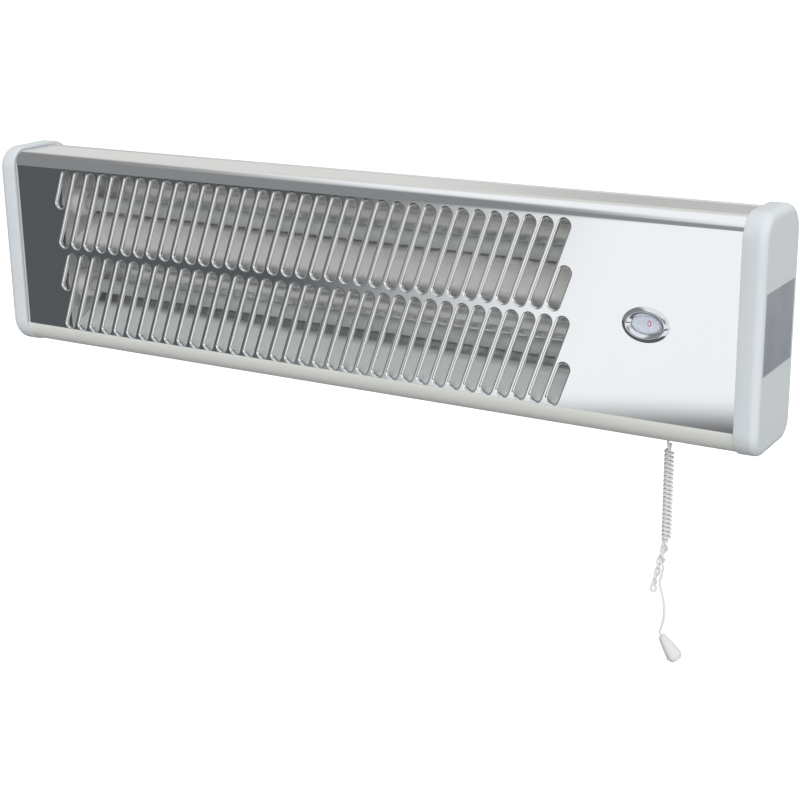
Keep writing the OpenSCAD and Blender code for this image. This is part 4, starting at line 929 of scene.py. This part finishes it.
def even_curve(points, spacing):
    """Points at even spacing on a smooth curve through the given ones."""
    given = np.array(points, float)
    keep = np.concatenate(([True], np.linalg.norm(np.diff(given, axis=0), axis=1) > 1e-6))
    given = given[keep]
    ends = [2 * given[0] - given[1], *given, 2 * given[-1] - given[-2]]
    fine = []
    for i in range(1, len(ends) - 2):
        p0, p1, p2, p3 = ends[i - 1], ends[i], ends[i + 1], ends[i + 2]
        for t in np.linspace(0, 1, 8, endpoint=False):
            fine.append(0.5 * (2 * p1 + (p2 - p0) * t + (2 * p0 - 5 * p1 + 4 * p2 - p3) * t ** 2
                               + (3 * p1 - p0 - 3 * p2 + p3) * t ** 3))
    fine.append(ends[-2])
    fine = np.array(fine)
    along = np.concatenate(([0], np.cumsum(np.linalg.norm(np.diff(fine, axis=0), axis=1))))
    count = max(2, int(along[-1] / spacing))
    at = np.linspace(0, along[-1], count + 1)
    return np.stack([np.interp(at, along, fine[:, k]) for k in range(3)], axis=1), along[-1]


def cord_mesh(points, strands=3, pitch=2.4, sides=12, spacing=0.16):
    """A laid cord: strands side by side that turn round its middle along its length."""
    path, length = even_curve(points, spacing)
    tangents = np.gradient(path, axis=0)
    tangents /= np.linalg.norm(tangents, axis=1)[:, None]
    normal = np.cross(tangents[0], (0.3, 1.0, 0.1))
    rings = []
    for i, (p, t) in enumerate(zip(path, tangents)):
        normal = normal - t * normal.dot(t)
        normal /= np.linalg.norm(normal)
        side = np.cross(t, normal)
        lay = 2 * math.pi * i * spacing / pitch
        ring = []
        for k in range(sides):
            a = 2 * math.pi * k / sides
            lobe = abs(math.cos((a - lay) * strands / 2))
            r = CORD_D / 2 * (0.93 + 0.07 * lobe)
            ring.append(p + r * (math.cos(a) * normal + math.sin(a) * side))
        rings.append(ring)
    verts, faces = rings_mesh(rings)
    return verts, faces + end_faces(len(verts), sides), length


def pull_cord():
    """One unbroken cord with its winding and eye, and the knob at its end."""
    route = cord_route()
    verts, faces, length = cord_mesh(route)
    cord = piece("hanging_cord", verts, faces, "cord_hang", "cord_white",
                 ("cord_winding", "cord_tail"), 180)
    knob = pull_knob()
    tuple(v * MM for v in route[0])
    [tuple(v * MM for v in p) for p in route]
    verts, faces, _ = cord_mesh([
        (CORD_X, CORD_Y, HANG_Z + 0.2 + (SHAFT_Z - HANG_Z - 0.3) * i / 12) for i in range(13)])
    piece("straight_cord", verts, faces, "cord_slide", "cord_white", ("cord_lead",), 180)


def pull_knob():
    """An eight-sided bell with soft edges, drawn in at its skirt."""
    end = Vector((CORD_X, CORD_Y, HANG_Z)) + Vector(TAIL[-1])
    axis, across = Vector((0.6, 0, -0.8)), Vector((0, 1, 0))
    side = axis.cross(across)
    n = KNOB_SIDES * KNOB_STEPS
    rings = []
    for r, along in KNOB_PROFILE:
        ring = []
        for k in range(n):
            a = 2 * math.pi * (k + 0.5) / n
            in_side = (k % KNOB_STEPS + 0.5) / KNOB_STEPS - 0.5
            flat = math.cos(math.pi / KNOB_SIDES) / math.cos(in_side * 2 * math.pi / KNOB_SIDES)
            rr = r * (1 - KNOB_FLATNESS + KNOB_FLATNESS * flat)
            ring.append(end + axis * along + rr * (math.cos(a) * across + math.sin(a) * side))
        rings.append(ring)
    verts, faces = rings_mesh(rings)
    faces += end_faces(len(verts), n, flip=True)
    knob = piece("bell_knob", verts, faces, "cord_hang", "knob_white", ("pull_knob",), 28)
    outward(knob.data)
    return knob


# Camera, light and floor


def camera():
    data = bpy.data.cameras.new("photo_camera")
    data.lens, data.sensor_width, data.sensor_fit = 73.26, 36.0, "HORIZONTAL"
    data.clip_start, data.clip_end = 0.05, 60.0
    thing = in_scene("photo_camera", data)
    place = Vector((0.4986, -0.8434, 0.2135))
    target = Vector((0.04225, -0.0915, -0.0631))
    turn = (target - place).to_track_quat("-Z", "Y").to_matrix().to_4x4()
    thing.matrix_world = (Matrix.Translation(place) @ turn
                          @ Matrix.Rotation(math.radians(-0.89), 4, "Z"))
    bpy.context.scene.camera = thing


def towards(right, rise):
    """A direction in front of the heater, by degrees to the right and degrees up."""
    a, e = math.radians(right), math.radians(rise)
    return Vector((math.sin(a) * math.cos(e), -math.cos(a) * math.cos(e), math.sin(e)))


def white_studio():
    """A white room with a dark screen on the left and a floor that is pale on one side. left is
    degrees to the left of straight in front, and rise is degrees above the horizon."""
    world = bpy.data.worlds.new("white_studio")
    bpy.context.scene.world = world
    world.use_nodes = True
    tree = Tree(world.node_tree)
    step, mix = tree.step, tree.mix
    unit = tree.add("ShaderNodeVectorMath", operation="NORMALIZE")
    tree.put(unit, 0, tree.add("ShaderNodeTexCoord").outputs["Generated"])
    xyz = tree.fill("ShaderNodeSeparateXYZ", Vector=unit.outputs[0])
    x, y, z = xyz.outputs
    rise = tree.math("DEGREES", tree.math("ARCSINE", z))
    left = tree.math("DEGREES", tree.math(
        "ARCTAN2", tree.math("MULTIPLY", x, -1.0), tree.math("MULTIPLY", y, -1.0)))
    wide = tree.math("ABSOLUTE", left)
    facing = tree.add("ShaderNodeVectorMath", operation="DOT_PRODUCT")
    tree.put(facing, 0, unit.outputs[0])
    tree.put(facing, 1, towards(-75, 10))
    off = tree.math("DEGREES", tree.math("ARCCOSINE", facing.outputs["Value"]))

    def both(one, other):
        return tree.math("MULTIPLY", one, other)

    def tone(*values):
        return (*values, 1.0)

    # White all round, a greyer room behind, and a grey band high in front
    behind = both(step(wide, 105, 135), step(rise, 62, 40))
    sky = mix(behind, tone(0.95, 0.965, 0.985), tone(0.72, 0.72, 0.70))
    corner = both(step(wide, 148, 158), step(rise, 14, 10))
    sky = mix(corner, sky, tone(0.52, 0.52, 0.51))
    band = both(both(step(rise, 2, 7), step(rise, 40, 25)), step(wide, 62, 34))
    sky = mix(band, sky, tone(0.29, 0.3, 0.3))
    # A round dark screen on the left, darkest below the horizon
    screen = mix(step(rise, -9, -6), tone(0.095, 0.1, 0.108), tone(0.25, 0.255, 0.26))
    sky = mix(both(step(off, 56, 45), step(rise, 65, 47)), sky, screen)
    # The floor: pale in front on the right, dark on the left, at its far edge and under the heater
    pale, dark = tone(0.95, 0.955, 0.96), tone(0.12, 0.122, 0.126)
    floor_tone = mix(both(step(left, -80, -50), step(rise, -30, -25)), pale, dark)
    for edge in (step(left, -10, 12), step(rise, -56, -66), step(left, -75, -95)):
        floor_tone = mix(edge, floor_tone, dark)
    sky = mix(step(rise, -17.2, -18.5), sky, floor_tone)
    tree.fill(world.node_tree.nodes["Background"], Color=sky, Strength=1.0)


def softbox():
    """One soft light from the front, which casts no highlight of its own."""
    lamp = bpy.data.lights.new("front_softbox", "SUN")
    lamp.energy, lamp.angle = 1.1, math.radians(60)
    light = in_scene("front_softbox", lamp)
    light.matrix_world = towards(12, 25).to_track_quat("Z", "Y").to_matrix().to_4x4()
    light.visible_glossy = False


def pale_floor(half=30000, z=-1900):
    """A pale floor far below, which only the camera sees."""
    mesh = mm_mesh("pale_floor", [(-half, -half, z), (half, -half, z), (half, half, z),
                                  (-half, half, z)], [(0, 1, 2, 3)])
    mesh.materials.append(finish(
        "floor_paper", (250, 250, 250), (254, 254, 254), (0.85, 0.95), cloud=2, grain=60,
        Emission_Color=(1, 1, 1, 1), Emission_Strength=0.45))
    floor = in_scene("pale_floor", mesh)
    floor.visible_glossy = False
    floor.visible_diffuse = False
    floor.visible_transmission = False


NODE_FINISHES = {
    "zinc": ("cap_screws", "casing_screws", "bracket_screws", "switch_bracket",
             "switch_bracket_screws", "drive_pawl", "hinge_bracket", "hinge_bracket_screws",
             "pivot_screws", "pivot_washers", "pivot_nuts", "wall_bracket"),
    "brass": ("left_tube_terminals", "right_tube_terminals", "switch_contacts", "switch_shaft",
              "ratchet_wheel", "terminal_screws", "earth_stud"),
    "steatite": ("upper_left_ceramic", "upper_right_ceramic", "lower_left_ceramic",
                 "lower_right_ceramic"),
    "cord_white": ("cord_wrap", "cord_lead", "cord_winding", "cord_tail"),
    "nylon": ("switch_cam", "pull_drum", "terminal_block"),
    "dark_plastic": ("switch_body", "cable_gland"),
    "bracket_steel": ("left_tube_bracket", "right_tube_bracket"),
    "quartz": ("upper_quartz_tube", "lower_quartz_tube"),
    "mirror_aluminium": ("upper_reflector", "lower_reflector"),
    "coil_wire": ("upper_heating_coil", "lower_heating_coil"),
    "cap_plastic": ("left_end_cap", "right_end_cap"),
    "panel_steel": ("front_panel",), "casing_steel": ("rear_casing",),
    "label_silver": ("rating_plate",), "bezel_chrome": ("window_bezel",),
    "lens_plastic": ("window_lens",), "indicator_white": ("indicator_wheel",),
    "spring_steel": ("return_spring",), "bush_rubber": ("cord_bush",),
    "knob_white": ("pull_knob",), "wire_brown": ("live_wire",),
    "wire_blue": ("neutral_wire", "jumper_wire"), "wire_red": ("upper_wire",),
    "wire_black": ("lower_wire",), "wire_green": ("earth_wire",),
}

bpy.context.scene.view_settings.view_transform = "Standard"
camera()
pull_cord()
for node_slot, node_names in NODE_FINISHES.items():
    for node_name in node_names:
        dress(node_name, node_slot)
front_panel()
tube_brackets()
rear_casing()
for cap_side in (-1, 1):
    end_cap(cap_side)
window()
setting_numbers()
heating_coils()
for row_name in ("upper", "lower"):
    smoothed(row_name + "_reflector", row_name + "_mirror", "heater", "mirror_aluminium", 30)
    smoothed(row_name + "_quartz_tube", row_name + "_tube", "heater", "quartz", 40)
    for end_name in ("left", "right"):
        smoothed(row_name + "_" + end_name + "_ceramic", row_name + "_" + end_name + "_holder",
                 "heater", "steatite", 30, 0.15)
white_studio()
softbox()
pale_floor()
